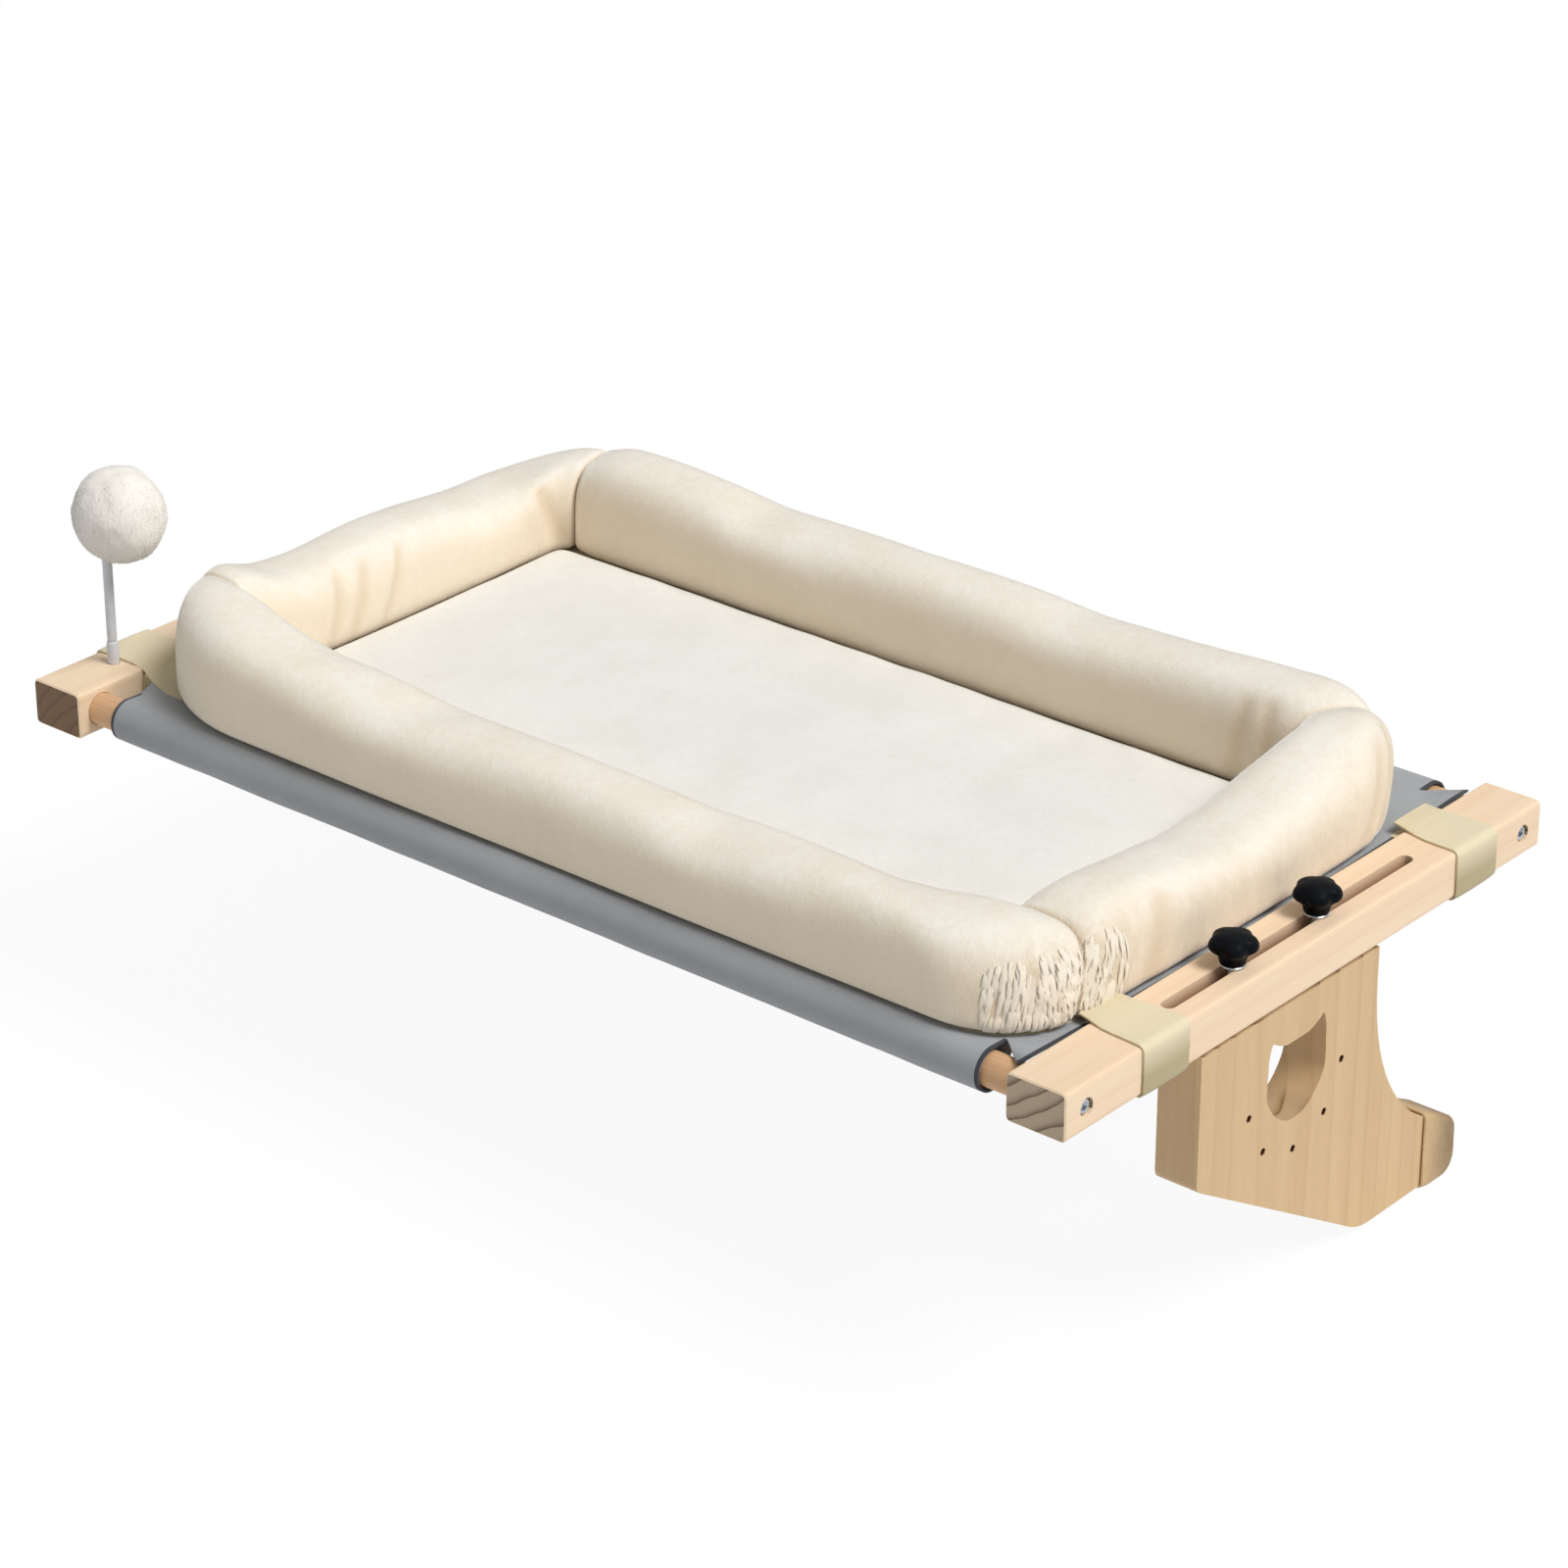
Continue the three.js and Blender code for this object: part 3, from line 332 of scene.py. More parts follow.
def mesh_object(name, points, faces, uvs=None):
    mesh = bpy.data.meshes.new(name)
    mesh.from_pydata([tuple(p) for p in points], [], faces)
    mesh.update()
    mesh.polygons.foreach_set("use_smooth", [True] * len(mesh.polygons))
    if uvs is not None:
        layer = mesh.uv_layers.new(name="UVMap")
        for loop in mesh.loops:
            layer.data[loop.index].uv = uvs[loop.vertex_index]
    return new_object(name, mesh)


def ring_faces(rings, per_ring, around=True, wrapped=False):
    """Faces between rings of points. Each ring is closed if around, and the last one meets
    the first one if wrapped."""
    faces = []
    for i in range(rings if wrapped else rings - 1):
        a = i * per_ring
        b = (i + 1) % rings * per_ring
        for j in range(per_ring if around else per_ring - 1):
            k = (j + 1) % per_ring
            faces.append((a + j, a + k, b + k, b + j))
    return faces


def end_faces(rings, per_ring):
    last = (rings - 1) * per_ring
    return [tuple(reversed(range(per_ring))), tuple(range(last, last + per_ring))]


def lathe(name, profile, steps, foot, radius_of=None, wrapped=False):
    """A solid of revolution about an upright line from (radius, height) points above its
    foot. Its ends are closed, or its profile meets itself round a bore if wrapped."""
    points = []
    for i, (radius, height) in enumerate(profile):
        for j in range(steps):
            angle = 2 * math.pi * j / steps
            r = radius if radius_of is None else radius_of(i, radius, height, angle)
            points.append(foot + Vector((r * math.cos(angle), r * math.sin(angle), height)))
    faces = ring_faces(len(profile), steps, wrapped=wrapped)
    if not wrapped:
        faces += end_faces(len(profile), steps)
    return mesh_object(name, points, faces)


def read_rows(items, key):
    out = np.zeros(len(items) * 3)
    items.foreach_get(key, out)
    return out.reshape(-1, 3)


def read_points(mesh):
    return read_rows(mesh.vertices, "co")


def vertex_normals(mesh):
    return read_rows(mesh.vertex_normals, "vector")


def write_points(mesh, points):
    mesh.vertices.foreach_set("co", points.astype(np.float32).ravel())
    mesh.update()


def put_mark(mesh, name, values):
    layer = mesh.attributes.new(name, "FLOAT", "POINT")
    layer.data.foreach_set("value", np.array(values, dtype=np.float32))


def read_mark(mesh, name):
    out = np.zeros(len(mesh.vertices))
    mesh.attributes[name].data.foreach_get("value", out)
    return out


def put_marks(mesh, names, rows):
    for axis, name in enumerate(names):
        put_mark(mesh, name, rows[:, axis])


def read_marks(mesh, names):
    return np.stack([read_mark(mesh, name) for name in names], axis=1)


def sharpen(obj, degrees):
    """Keeps edges crisp where faces meet at more than an angle."""
    obj.modifiers.new("crisp", "EDGE_SPLIT").split_angle = math.radians(degrees)


def subdivide(obj):
    mod = obj.modifiers.new("smooth", "SUBSURF")
    mod.levels = 1
    mod.render_levels = 1


def thicken(obj, thickness):
    mod = obj.modifiers.new("cloth", "SOLIDIFY")
    mod.thickness = thickness
    mod.offset = -1.0


def refine(obj):
    """Divides each face in four for good and carries the marks along."""
    subdivide(obj)
    graph = bpy.context.evaluated_depsgraph_get()
    fine = bpy.data.meshes.new_from_object(
        obj.evaluated_get(graph), preserve_all_data_layers=True, depsgraph=graph
    )
    obj.modifiers.clear()
    obj.data = fine


def round_corner(x, y, half_x, half_y, radius):
    """A place of a rectangle, drawn in where the rectangle's corners are round."""
    dx = abs(x) - (half_x - radius)
    dy = abs(y) - (half_y - radius)
    if dx > 0 and dy > 0:
        reach = max(dx, dy)
        d = math.hypot(dx, dy)
        x = math.copysign(half_x - radius + dx * reach / d, x)
        y = math.copysign(half_y - radius + dy * reach / d, y)
    return x, y


def finish_piece(obj, body, material, stands_for=()):
    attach(obj, body)
    if stands_for:
        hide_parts(*stands_for)
    obj.data.materials.append(material)


# Materials. A colour is written as its three sRGB values of 0 to 255.


def linear(value):
    """A socket as it is, or an sRGB colour as a linear one."""
    if isinstance(value, bpy.types.NodeSocket):
        return value
    out = []
    for part in value:
        v = part / 255
        out.append(v / 12.92 if v <= 0.04045 else ((v + 0.055) / 1.055) ** 2.4)
    return (*out, 1)


class Nodes:
    """The nodes of a material or of the world, with short ways to join them."""

    def __init__(self, owner):
        owner.use_nodes = True
        self.tree = owner.node_tree
        self.tree.nodes.clear()

    def put(self, socket, value):
        if isinstance(value, bpy.types.NodeSocket):
            self.tree.links.new(value, socket)
        else:
            socket.default_value = value

    def node(self, kind, inputs=(), **settings):
        """Makes a node and gives its outputs."""
        made = self.tree.nodes.new("ShaderNode" + kind)
        for key, value in settings.items():
            setattr(made, key, value)
        for key, value in dict(inputs).items():
            self.put(made.inputs[key], value)
        return made.outputs

    def math(self, operation, a, b=0.0):
        return self.node("Math", {0: a, 1: b}, operation=operation)[0]

    def chain(self, operation, first, *others):
        for other in others:
            first = self.math(operation, first, other)
        return first

    def total(self, *values):
        return self.chain("ADD", *values)

    def product(self, *values):
        return self.chain("MULTIPLY", *values)

    def distance(self, *offs):
        """The length of a vector from its parts."""
        return self.math("SQRT", self.total(*[self.product(off, off) for off in offs]))

    def away(self, value, centre):
        return self.math("ABSOLUTE", self.math("SUBTRACT", value, centre))

    def place(self, kind="Object"):
        return self.node("TexCoord")[kind]

    def mark(self, name):
        return self.node("Attribute", attribute_name=name)["Fac"]

    def scaled(self, vector, scale):
        return self.node("Mapping", {"Vector": vector, "Scale": scale})[0]

    def noise(self, vector, scale, detail=2.0, roughness=0.5, distortion=0.0):
        inputs = {"Vector": vector, "Scale": scale, "Detail": detail}
        inputs.update({"Roughness": roughness, "Distortion": distortion})
        return self.node("TexNoise", inputs)[0]

    def split(self, vector):
        return self.node("SeparateXYZ", {0: vector})

    def spread(self, value, start, end, to_start=0.0, to_end=1.0):
        inputs = {"Value": value, "From Min": start, "From Max": end}
        inputs.update({"To Min": to_start, "To Max": to_end})
        return self.node("MapRange", inputs)[0]

    def tone(self, layer, most, start=0.35, end=0.7):
        """None where a layer is low, rising to the most where it is high."""
        return self.spread(layer, start, end, 0.0, most)

    def mix(self, share, a, b):
        return self.node("Mix", {0: share, 6: linear(a), 7: linear(b)}, data_type="RGBA")[2]

    def toned(self, tones, light, deep):
        """Light towards deep by the sum of some tones."""
        return self.mix(self.math("MINIMUM", self.total(*tones), 1.0), light, deep)

    def bump(self, height, strength, distance, before=None):
        inputs = {"Height": height, "Strength": strength, "Distance": distance}
        if before is not None:
            inputs["Normal"] = before
        return self.node("Bump", inputs)[0]

    def seen_directly(self):
        """1 for what the camera sees, also by reflection or through glass."""
        rays = self.node("LightPath")
        names = ("Is Camera Ray", "Is Glossy Ray", "Is Transmission Ray")
        return self.chain("MAXIMUM", *[rays[name] for name in names])


class Finish(Nodes):
    """A material with one Principled shader."""

    def __init__(self, name, **numbers):
        self.material = bpy.data.materials.new(name)
        super().__init__(self.material)
        self.shader = self.tree.nodes.new("ShaderNodeBsdfPrincipled")
        self.node("OutputMaterial", {0: self.shader.outputs[0]})
        for key, value in numbers.items():
            self.shader.inputs[key.replace("_", " ")].default_value = value

    def done(self, colour, roughness, normal):
        self.put(self.shader.inputs["Base Color"], colour)
        self.put(self.shader.inputs["Roughness"], roughness)
        self.put(self.shader.inputs["Normal"], normal)
        return self.material


def slot_painted_shade(f, parts):
    """Painted shade where the rail's slot is cut: its walls are painted dark and reddish."""
    off = f.away(parts[0], middle("right_front_stud").x)
    inside = f.spread(off, *SLOT_SHADE_OFFS)
    deep = f.spread(parts[2], *[RAIL_TOP - depth for depth in SLOT_SHADE_DEPTHS])
    along = f.math("LESS_THAN", f.math("ABSOLUTE", parts[1]), SLOT_HALF)
    return f.product(along, inside, deep), (150, 100, 70)


def hole_painted_shade(f, parts):
    """Painted shade where the small holes are bored into a leg, on an arc under the cut-out."""
    y = f.math("SUBTRACT", parts[1], low("right_leg").y + HOLE_ARC_FROM_FRONT)
    z = f.math("SUBTRACT", parts[2], HOLE_ARC_Z)
    on_arc = f.math("LESS_THAN", f.away(f.distance(y, z), HOLE_ARC_RADIUS), HOLE_ARC_SPREAD)
    deep = f.math("LESS_THAN", parts[0], high("right_leg").x - HOLE_SHADE_FROM)
    shallow = f.math("GREATER_THAN", parts[0], high("right_leg").x - HOLE_SHADE_TO)
    return f.product(on_arc, deep, shallow), (82, 42, 26)


def wood(name, faces, ends, axis, heart, ring_gap, line_share, shade=None):
    """Planed wood: growth rings about a heart line along an axis, so that they show as
    streaks on the faces and arcs on the end grain, with pores and a faint lacquer. Faces
    and ends are a pale and a dark colour each. A painted shade darkens the walls of a cut."""
    f = Finish(name, Specular_IOR_Level=0.35, Coat_Weight=0.08, Coat_Roughness=0.35)
    place = f.place()
    parts = f.split(place)
    others = [i for i in range(3) if i != axis]
    along = f.scaled(place, [0.045 if i == axis else 1 for i in range(3)])
    offs = [f.math("SUBTRACT", parts[i], centre) for i, centre in zip(others, heart)]
    bent = f.total(f.distance(*offs), f.product(f.noise(along, 22), ring_gap * 2.2))
    phase = f.math("FRACT", f.math("DIVIDE", bent, ring_gap))
    line = f.product(f.math("POWER", phase, 5.0), f.spread(phase, 0.93, 1.0, 1.0, 0.0))
    streaks = f.noise(along, 900, 3.0, 0.6)
    pores = f.noise(place, 1600, 2.0, 0.6)
    tones = [
        f.product(line, line_share),
        f.tone(streaks, 0.22, 0.35, 0.75),
        f.tone(f.noise(along, 60), 0.3),
    ]
    end_tones = [f.product(line, 1.5), f.tone(pores, 0.35, 0.4, 0.8)]
    facing = f.math("ABSOLUTE", f.split(f.place("Normal"))[axis])
    is_end = f.spread(facing, 0.75, 0.92)
    colour = f.mix(is_end, f.toned(tones, *faces), f.toned(end_tones, *ends))
    # painted shade on the walls of a cut, where one is given
    if shade is not None:
        where, tint = shade(f, parts)
        colour = f.mix(where, colour, tint)
    normal = f.bump(streaks, 0.12, STREAK_RELIEF)
    normal = f.bump(line, 0.1, RING_RELIEF, normal)
    return f.done(colour, f.spread(streaks, 0.3, 0.8, 0.5, 0.66), normal)


def pile(f, tone_shares):
    """Short pile: its clumps and single fibres, and the tones that they and its patches
    give."""
    place = f.place()
    patches = f.noise(place, 26)
    clumps = f.noise(f.scaled(place, (1, 1, 0.55)), 190, 3.0, 0.55, 0.6)
    fibres = f.noise(f.scaled(place, (1, 1, 0.4)), 1500, 2.0, 0.6)
    tones = [
        f.tone(patches, tone_shares[0]),
        f.tone(clumps, tone_shares[1]),
        f.tone(fibres, tone_shares[2], 0.3, 0.75),
    ]
    return clumps, fibres, tones


def plush(name, light, deep, fibre_depth, clump_depth, sheen):
    """Short pile with a soft sheen."""
    f = Finish(name, Specular_IOR_Level=0.1, Sheen_Weight=sheen, Sheen_Roughness=0.4)
    clumps, fibres, tones = pile(f, (0.35, 0.3, 0.35))
    normal = f.bump(clumps, 0.35, clump_depth)
    normal = f.bump(fibres, 0.5, fibre_depth, normal)
    return f.done(f.toned(tones, light, deep), f.spread(fibres, 0.3, 0.8, 0.82, 0.98), normal)


def rim_finish():
    """Plush of the rim: painted light makes it paler where the pile faces up, and painted shade
    darkens it in seams, folds and between loose locks."""
    f = Finish("bolster_plush", Specular_IOR_Level=0.1, Sheen_Weight=0.7, Sheen_Roughness=0.4)
    clumps, fibres, tones = pile(f, (0.25, 0.25, 0.3))
    loose = f.mark("loose")
    locks = f.noise(f.scaled(f.place(), (1, 1, 0.45)), 110, 3.0, 0.6, 1.2)
    up = f.split(f.place("Normal"))[2]
    # painted light: paler where the pile faces up, as if lit from above
    painted_top_light = f.mix(f.spread(up, 0.2, 0.85), (247, 233, 211), (253, 249, 240))
    colour = f.toned(tones, painted_top_light, (238, 222, 196))
    # painted shade in the gaps between loose locks
    painted_gap_shade = f.product(loose, f.spread(locks, 0.3, 0.65, 0.1, 0.9))
    colour = f.mix(painted_gap_shade, colour, (218, 199, 170))
    # painted shade in the fold valleys
    colour = f.mix(f.product(f.mark("fold"), 0.4), colour, (214, 188, 150))
    # painted shade along the seams' creases
    colour = f.mix(f.math("POWER", f.mark("seam"), 2.0), colour, (140, 108, 74))
    normal = f.bump(clumps, 0.35, CLUMP_RELIEF)
    normal = f.bump(f.product(locks, loose), 0.6, LOCK_RELIEF, normal)
    normal = f.bump(fibres, 0.5, FIBRE_RELIEF, normal)
    return f.done(colour, f.spread(fibres, 0.3, 0.8, 0.82, 0.98), normal)


def fur_finish():
    """Loose locks: pale at their tips, with painted shade darkening their roots, which lie under
    other locks.
    """
    f = Finish("corner_fur", Specular_IOR_Level=0.1, Sheen_Weight=0.5, Sheen_Roughness=0.4)
    along = f.split(f.place("UV"))
    hairs = f.noise(f.scaled(f.place(), (1, 1, 0.22)), 1300, 2.0, 0.6, 0.4)
    tones = [
        # painted shade at the roots, under the locks that lie over them
        f.spread(along[0], 0.0, 0.8, 0.3, 0.0),
        f.tone(f.noise(f.place(), 120), 0.25),
        f.tone(hairs, 0.3, 0.3, 0.7),
        f.tone(along[1], 0.15, 0.0, 1.0),
    ]
    colour = f.toned(tones, (252, 244, 230), (236, 221, 197))
    rough = f.spread(hairs, 0.3, 0.8, 0.85, 0.98)
    return f.done(colour, rough, f.bump(hairs, 0.5, FIBRE_RELIEF))


def threads(f, along, pitch, shift=0.0):
    """A wave across a set of threads."""
    return f.math("SINE", f.total(f.product(along, math.pi / pitch), shift))


def woven(name, light, deep, pitch):
    """Cloth woven of two sets of threads, laid out by the mesh's own map in metres."""
    f = Finish(name, Specular_IOR_Level=0.2, Sheen_Weight=0.2, Sheen_Roughness=0.5)
    uv = f.split(f.place("UV"))
    shift = f.product(f.noise(f.place("UV"), 120), 0.35)
    cross = f.product(threads(f, uv[0], pitch, shift), threads(f, uv[1], pitch, shift))
    height = f.math("ABSOLUTE", cross)
    fuzz = f.noise(f.place(), 1300, 2.0, 0.6)
    tones = [
        f.spread(height, 0.0, 1.0, 0.4, 0.0),
        f.tone(cross, 0.12, -1.0, 1.0),
        f.tone(fuzz, 0.2, 0.3, 0.75),
        f.tone(f.noise(f.place(), 30, 3.0, 0.55), 0.25),
    ]
    normal = f.bump(height, 0.45, THREAD_RELIEF)
    normal = f.bump(fuzz, 0.25, THREAD_RELIEF / 2, normal)
    return f.done(f.toned(tones, light, deep), f.spread(fuzz, 0.3, 0.8, 0.72, 0.92), normal)


def webbing_finish(rib_pitch, warp_pitch):
    """Khaki webbing: ribs across its length, and painted shade that turns it olive down the
    rail's sides and near the bed's rim, which shades it."""
    side_shade_from = 1 * MM
    side_shade_to = 16 * MM
    bed_shade_reach = 12 * MM
    f = Finish("strap_webbing", Specular_IOR_Level=0.2, Sheen_Weight=0.25, Sheen_Roughness=0.5)
    uv = f.split(f.place("UV"))
    place = f.split(f.place())
    ribs = f.math("ABSOLUTE", threads(f, uv[1], rib_pitch))
    warps = f.math("ABSOLUTE", threads(f, uv[0], warp_pitch))
    height = f.total(f.product(ribs, 0.6), f.product(warps, 0.4))
    fuzz = f.noise(f.place(), 1300, 2.0, 0.6)
    out = f.math("ABSOLUTE", place[0])
    tones = [
        f.spread(height, 0.0, 1.0, 0.12, 0.0),
        f.tone(fuzz, 0.12, 0.3, 0.75),
        # painted shade: darker down the rail's sides and near the bed's rim
        f.spread(place[2], RAIL_TOP - side_shade_from, RAIL_TOP - side_shade_to, 0.0, 0.75),
        f.spread(out, RAIL_INNER + bed_shade_reach, RAIL_INNER, 0.0, 0.2),
    ]
    colour = f.toned(tones, (238, 225, 192), (168, 154, 112))
    normal = f.bump(height, 0.4, RIB_RELIEF)
    normal = f.bump(fuzz, 0.25, FUZZ_RELIEF, normal)
    return f.done(colour, f.spread(fuzz, 0.3, 0.8, 0.72, 0.92), normal)


def moulded(name, base, worn, roughness, grain_scale, grain_depth, gloss=0.5):
    """Moulded plastic with a fine grain, paler on its edges and in smears: rubbed wear, and on
    the knob also a bluish painted highlight.
    """
    f = Finish(name, Specular_IOR_Level=gloss)
    grain = f.noise(f.place(), grain_scale, 2.0, 0.55)
    smears = f.noise(f.place(), 140, 3.0, 0.6)
    edge = f.spread(f.node("NewGeometry")["Pointiness"], 0.52, 0.6, 0.0, 0.5)
    colour = f.toned([f.tone(smears, 0.4, 0.4, 0.75), edge], base, worn)
    rough = f.spread(smears, 0.3, 0.75, roughness - 0.06, roughness + 0.1)
    return f.done(colour, rough, f.bump(grain, 0.3, grain_depth))


def metal(name, base, dull):
    """Plated metal with fine scratches and slight dulling."""
    f = Finish(name, Metallic=1.0)
    scratches = f.noise(f.scaled(f.place(), (1, 1, 0.1)), 700, 3.0, 0.6)
    clouds = f.noise(f.place(), 220, 3.0, 0.6)
    colour = f.mix(f.spread(clouds, 0.35, 0.75), base, dull)
    rough = f.spread(scratches, 0.3, 0.8, 0.22, 0.44)
    return f.done(colour, rough, f.bump(scratches, 0.15, SCRATCH_RELIEF))


def felt(name, light, deep):
    """Pressed felt: matted fibres in all directions, with painted shade that darkens it towards
    the foot's tip.
    """
    f = Finish(name, Specular_IOR_Level=0.1, Sheen_Weight=0.2, Sheen_Roughness=0.6)
    place = f.place()
    mat = f.noise(place, 700, 4.0, 0.65, 1.2)
    cover = size("right_foot_cover").y
    tip = low("right_foot_cover").y
    tones = [
        # painted shade, darker towards the foot's tip
        f.spread(f.split(place)[1], tip, tip + cover * 0.75, 0.0, 0.85),
        f.spread(mat, 0.3, 0.7, -0.12, 0.12),
        f.spread(f.noise(place, 90), 0.35, 0.7, -0.06, 0.06),
    ]
    tone = f.math("MAXIMUM", f.total(*tones), 0.0)
    rough = f.spread(mat, 0.3, 0.7, 0.85, 1.0)
    return f.done(f.toned([tone], light, deep), rough, f.bump(mat, 0.5, FELT_RELIEF))


LEG_FACES = ((218, 187, 144), (196, 162, 118))
LEG_ENDS = ((196, 168, 132), (140, 108, 72))
RAIL_WOOD = wood(
    "rail_wood", ((246, 221, 191), (231, 197, 158)), ((200, 180, 154), (120, 100, 76)),
    1, mm(240, 130), 9.5 * MM, 0.3, slot_painted_shade,
)
LEFT_RAIL_WOOD = wood(
    "left_rail_wood", ((240, 216, 186), (226, 194, 156)), ((126, 97, 66), (104, 76, 50)),
    1, mm(-430, 120), 8 * MM, 0.3,
)
LEG_WOOD = wood("leg_wood", LEG_FACES, LEG_ENDS, 2, mm(300, -20), 11 * MM, 0.5, hole_painted_shade)
LEFT_LEG_WOOD = wood("left_leg_wood", LEG_FACES, LEG_ENDS, 2, mm(-290, 30), 11 * MM, 0.5)
TUBE_WOOD = wood(
    "tube_wood", ((222, 180, 138), (192, 146, 104)), ((190, 150, 108), (130, 92, 60)),
    0, mm(0, 30), 4 * MM, 0.4,
)
BOLSTER_PLUSH = rim_finish()
CORNER_FUR = fur_finish()
PAD_PLUSH = plush("pad_plush", (245, 243, 237), (235, 232, 224), *mm(0.3, 0.6), 0.4)
BALL_PLUSH = plush("ball_plush", (247, 244, 238), (241, 234, 223), *mm(0.15, 0.4), 0.5)
SLING_CLOTH = woven("sling_cloth", (178, 181, 185), (146, 149, 153), 0.55 * MM)
# The dark binding also stands as painted shade for the dark gaps beside the rails
BINDING_AND_PAINTED_SHADE = woven("sling_binding_and_painted_shade", (74, 76, 84), (44, 45, 52), 0.5 * MM)
BOTTOM_CLOTH = woven("bottom_cloth", (222, 208, 180), (194, 178, 148), 0.5 * MM)
WEBBING = webbing_finish(*mm(0.7, 0.9))
FOOT_FELT = felt("foot_felt", (208, 178, 134), (132, 108, 74))
# The knob's paler colour is a bluish painted highlight as well as wear
KNOB_PLASTIC = moulded("knob_plastic", (7, 8, 10), (20, 27, 36), 0.46, 2600, 0.05 * MM, 0.05)
TOY_PLASTIC = moulded("toy_plastic", (212, 215, 221), (228, 230, 234), 0.42, 900, 0.08 * MM)
SCREW_STEEL = metal("screw_steel", (205, 208, 212), (160, 164, 170))
BRASS = metal("insert_brass", (205, 172, 105), (165, 132, 72))


# Wooden pieces and the inserts stay as solids


def dress_solids():
    finishes = {
        "left_rail": LEFT_RAIL_WOOD,
        "right_rail": RAIL_WOOD,
        "front_tube": TUBE_WOOD,
        "back_tube": TUBE_WOOD,
        "left_leg": LEFT_LEG_WOOD,
        "right_leg": LEG_WOOD,
    }
    for side in ("left", "right"):
        for end in ("front", "back"):
            finishes[f"{side}_{end}_insert"] = BRASS
    for node, material in finishes.items():
        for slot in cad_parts[node].material_slots:
            slot.material = material


# Bed


def side_place(half_along, half_out, radius, share, seam_angle):
    """A place on one side of a rounded rectangle, from the seam at one corner at share -1
    to the seam at the other at 1: (along the side, out from the centre)."""
    straight = half_along - radius
    run = abs(share) * (straight + radius * seam_angle)
    sign = math.copysign(1, share)
    if abs(share) == 1:
        run += SEAM_OVERLAP
    if run <= straight:
        return sign * run, half_out
    angle = (run - straight) / radius
    along = straight + radius * math.sin(angle)
    return sign * along, half_out - radius * (1 - math.cos(angle))


def smooth_value(values, share):
    """A value between evenly spread ones, on a smooth curve through them."""
    last = len(values) - 1
    place = (share + 1) / 2 * last
    i = min(int(place), last - 1)
    t = place - i
    a, b, c, d = (values[max(0, min(last, k))] for k in (i - 1, i, i + 1, i + 2))
    bend = 2 * a - 5 * b + 4 * c - d + t * (3 * (b - c) + d - a)
    return b + t / 2 * (c - a + t * bend)


def bolster_section():
    """Shares of a bolster's width, from its inner side out, and of its height."""
    crown_power = 0.7
    under_power = 0.3
    widest_share = 0.32
    shares = []
    for i in range(SECTION_STEPS):
        angle = 2 * math.pi * i / SECTION_STEPS
        across = math.cos(angle)
        up = math.sin(angle)
        power = crown_power if up > 0 else under_power
        reach = 1 - widest_share if up > 0 else -widest_share
        width_share = 0.5 + 0.5 * math.copysign(abs(across) ** power, across)
        shares.append((width_share, widest_share + reach * abs(up) ** power))
    return shares


def side_sizes(side):
    """Half size along a side, half size across it, and the side's turn about Z."""
    first = SIDES.index(side)
    halves = (BED_HALF_Y, BED_HALF_X) if first % 2 else (BED_HALF_X, BED_HALF_Y)
    return (*halves, first * math.pi / 2)


def bolster_mesh(side):
    """One side of the rim about the bed's middle, a little thinner than its solid so that
    the filling swells it. Each vertex keeps as marks its distance from the nearer seam,
    the middle of its section, its place and its normal."""
    thin_share = 0.965
    end_height_share = 0.94
    half_along, half_out, turn = side_sizes(side)
    first = SIDES.index(side)
    stations = round(2 * half_along / MESH_STEP)
    steps = SECTION_STEPS
    section = bolster_section()
    points = []
    uvs = []
    from_seams = []
    for i in range(stations + 1):
        share = 2 * i / stations - 1
        corner = first if share < 0 else (first + 1) % len(SIDES)
        seam = [math.radians(90 - v if share < 0 else v) for v in RIM_SEAMS[corner]]
        inner = side_place(
            half_along - BOLSTER_WIDTH, half_out - BOLSTER_WIDTH, RIM_INNER_RADII[corner],
            share, seam[0],
        )
        from_end = (1 - abs(share)) * half_along
        pinch = (1 - end_height_share) * bell(from_end, PINCH_LENGTH)
        height = smooth_value(RIM_HEIGHTS[side], share) * (1 - pinch)
        lean = RIM_TOP_RADII[corner] - RIM_FOOT_RADII[corner]
        for j, (width_share, height_share) in enumerate(section):
            radius = RIM_FOOT_RADII[corner] + lean * height_share
            outer = side_place(half_along, half_out, radius, share, seam[1])
            w = 0.5 + (width_share - 0.5) * thin_share
            along, out = (a + (b - a) * w for a, b in zip(inner, outer))
            plan = Matrix.Rotation(turn, 2) @ Vector((along, -out))
            rise = height_share * thin_share * height
            points.append((plan.x, plan.y, bed_floor(plan.y) + rise))
            uvs.append((share * half_along, j * MESH_STEP))
            from_seams.append(from_end)
    faces = [tuple(reversed(face)) for face in ring_faces(stations + 1, steps)]
    cores = list(points)
    for ring in range(stations + 1):
        own = slice(ring * steps, (ring + 1) * steps)
        centre = tuple(sum((Vector(p) for p in points[own]), Vector()) / steps)
        cores[own] = [centre] * steps
        if ring not in (0, stations):
            continue
        hub = len(points)
        points.append(centre)
        cores.append(centre)
        uvs.append(uvs[ring * steps])
        from_seams.append(0.0)
        for j in range(steps):
            a = ring * steps + j
            b = ring * steps + (j + 1) % steps
            faces.append((b, a, hub) if ring else (a, b, hub))
    obj = mesh_object(f"{side}_bolster_cushion", points, faces, uvs)
    put_mark(obj.data, "from_seam", from_seams)
    put_marks(obj.data, CORE_MARKS, np.array(cores))
    put_marks(obj.data, HOME_MARKS, np.array(points))
    put_marks(obj.data, FACING_MARKS, vertex_normals(obj.data))
    return obj


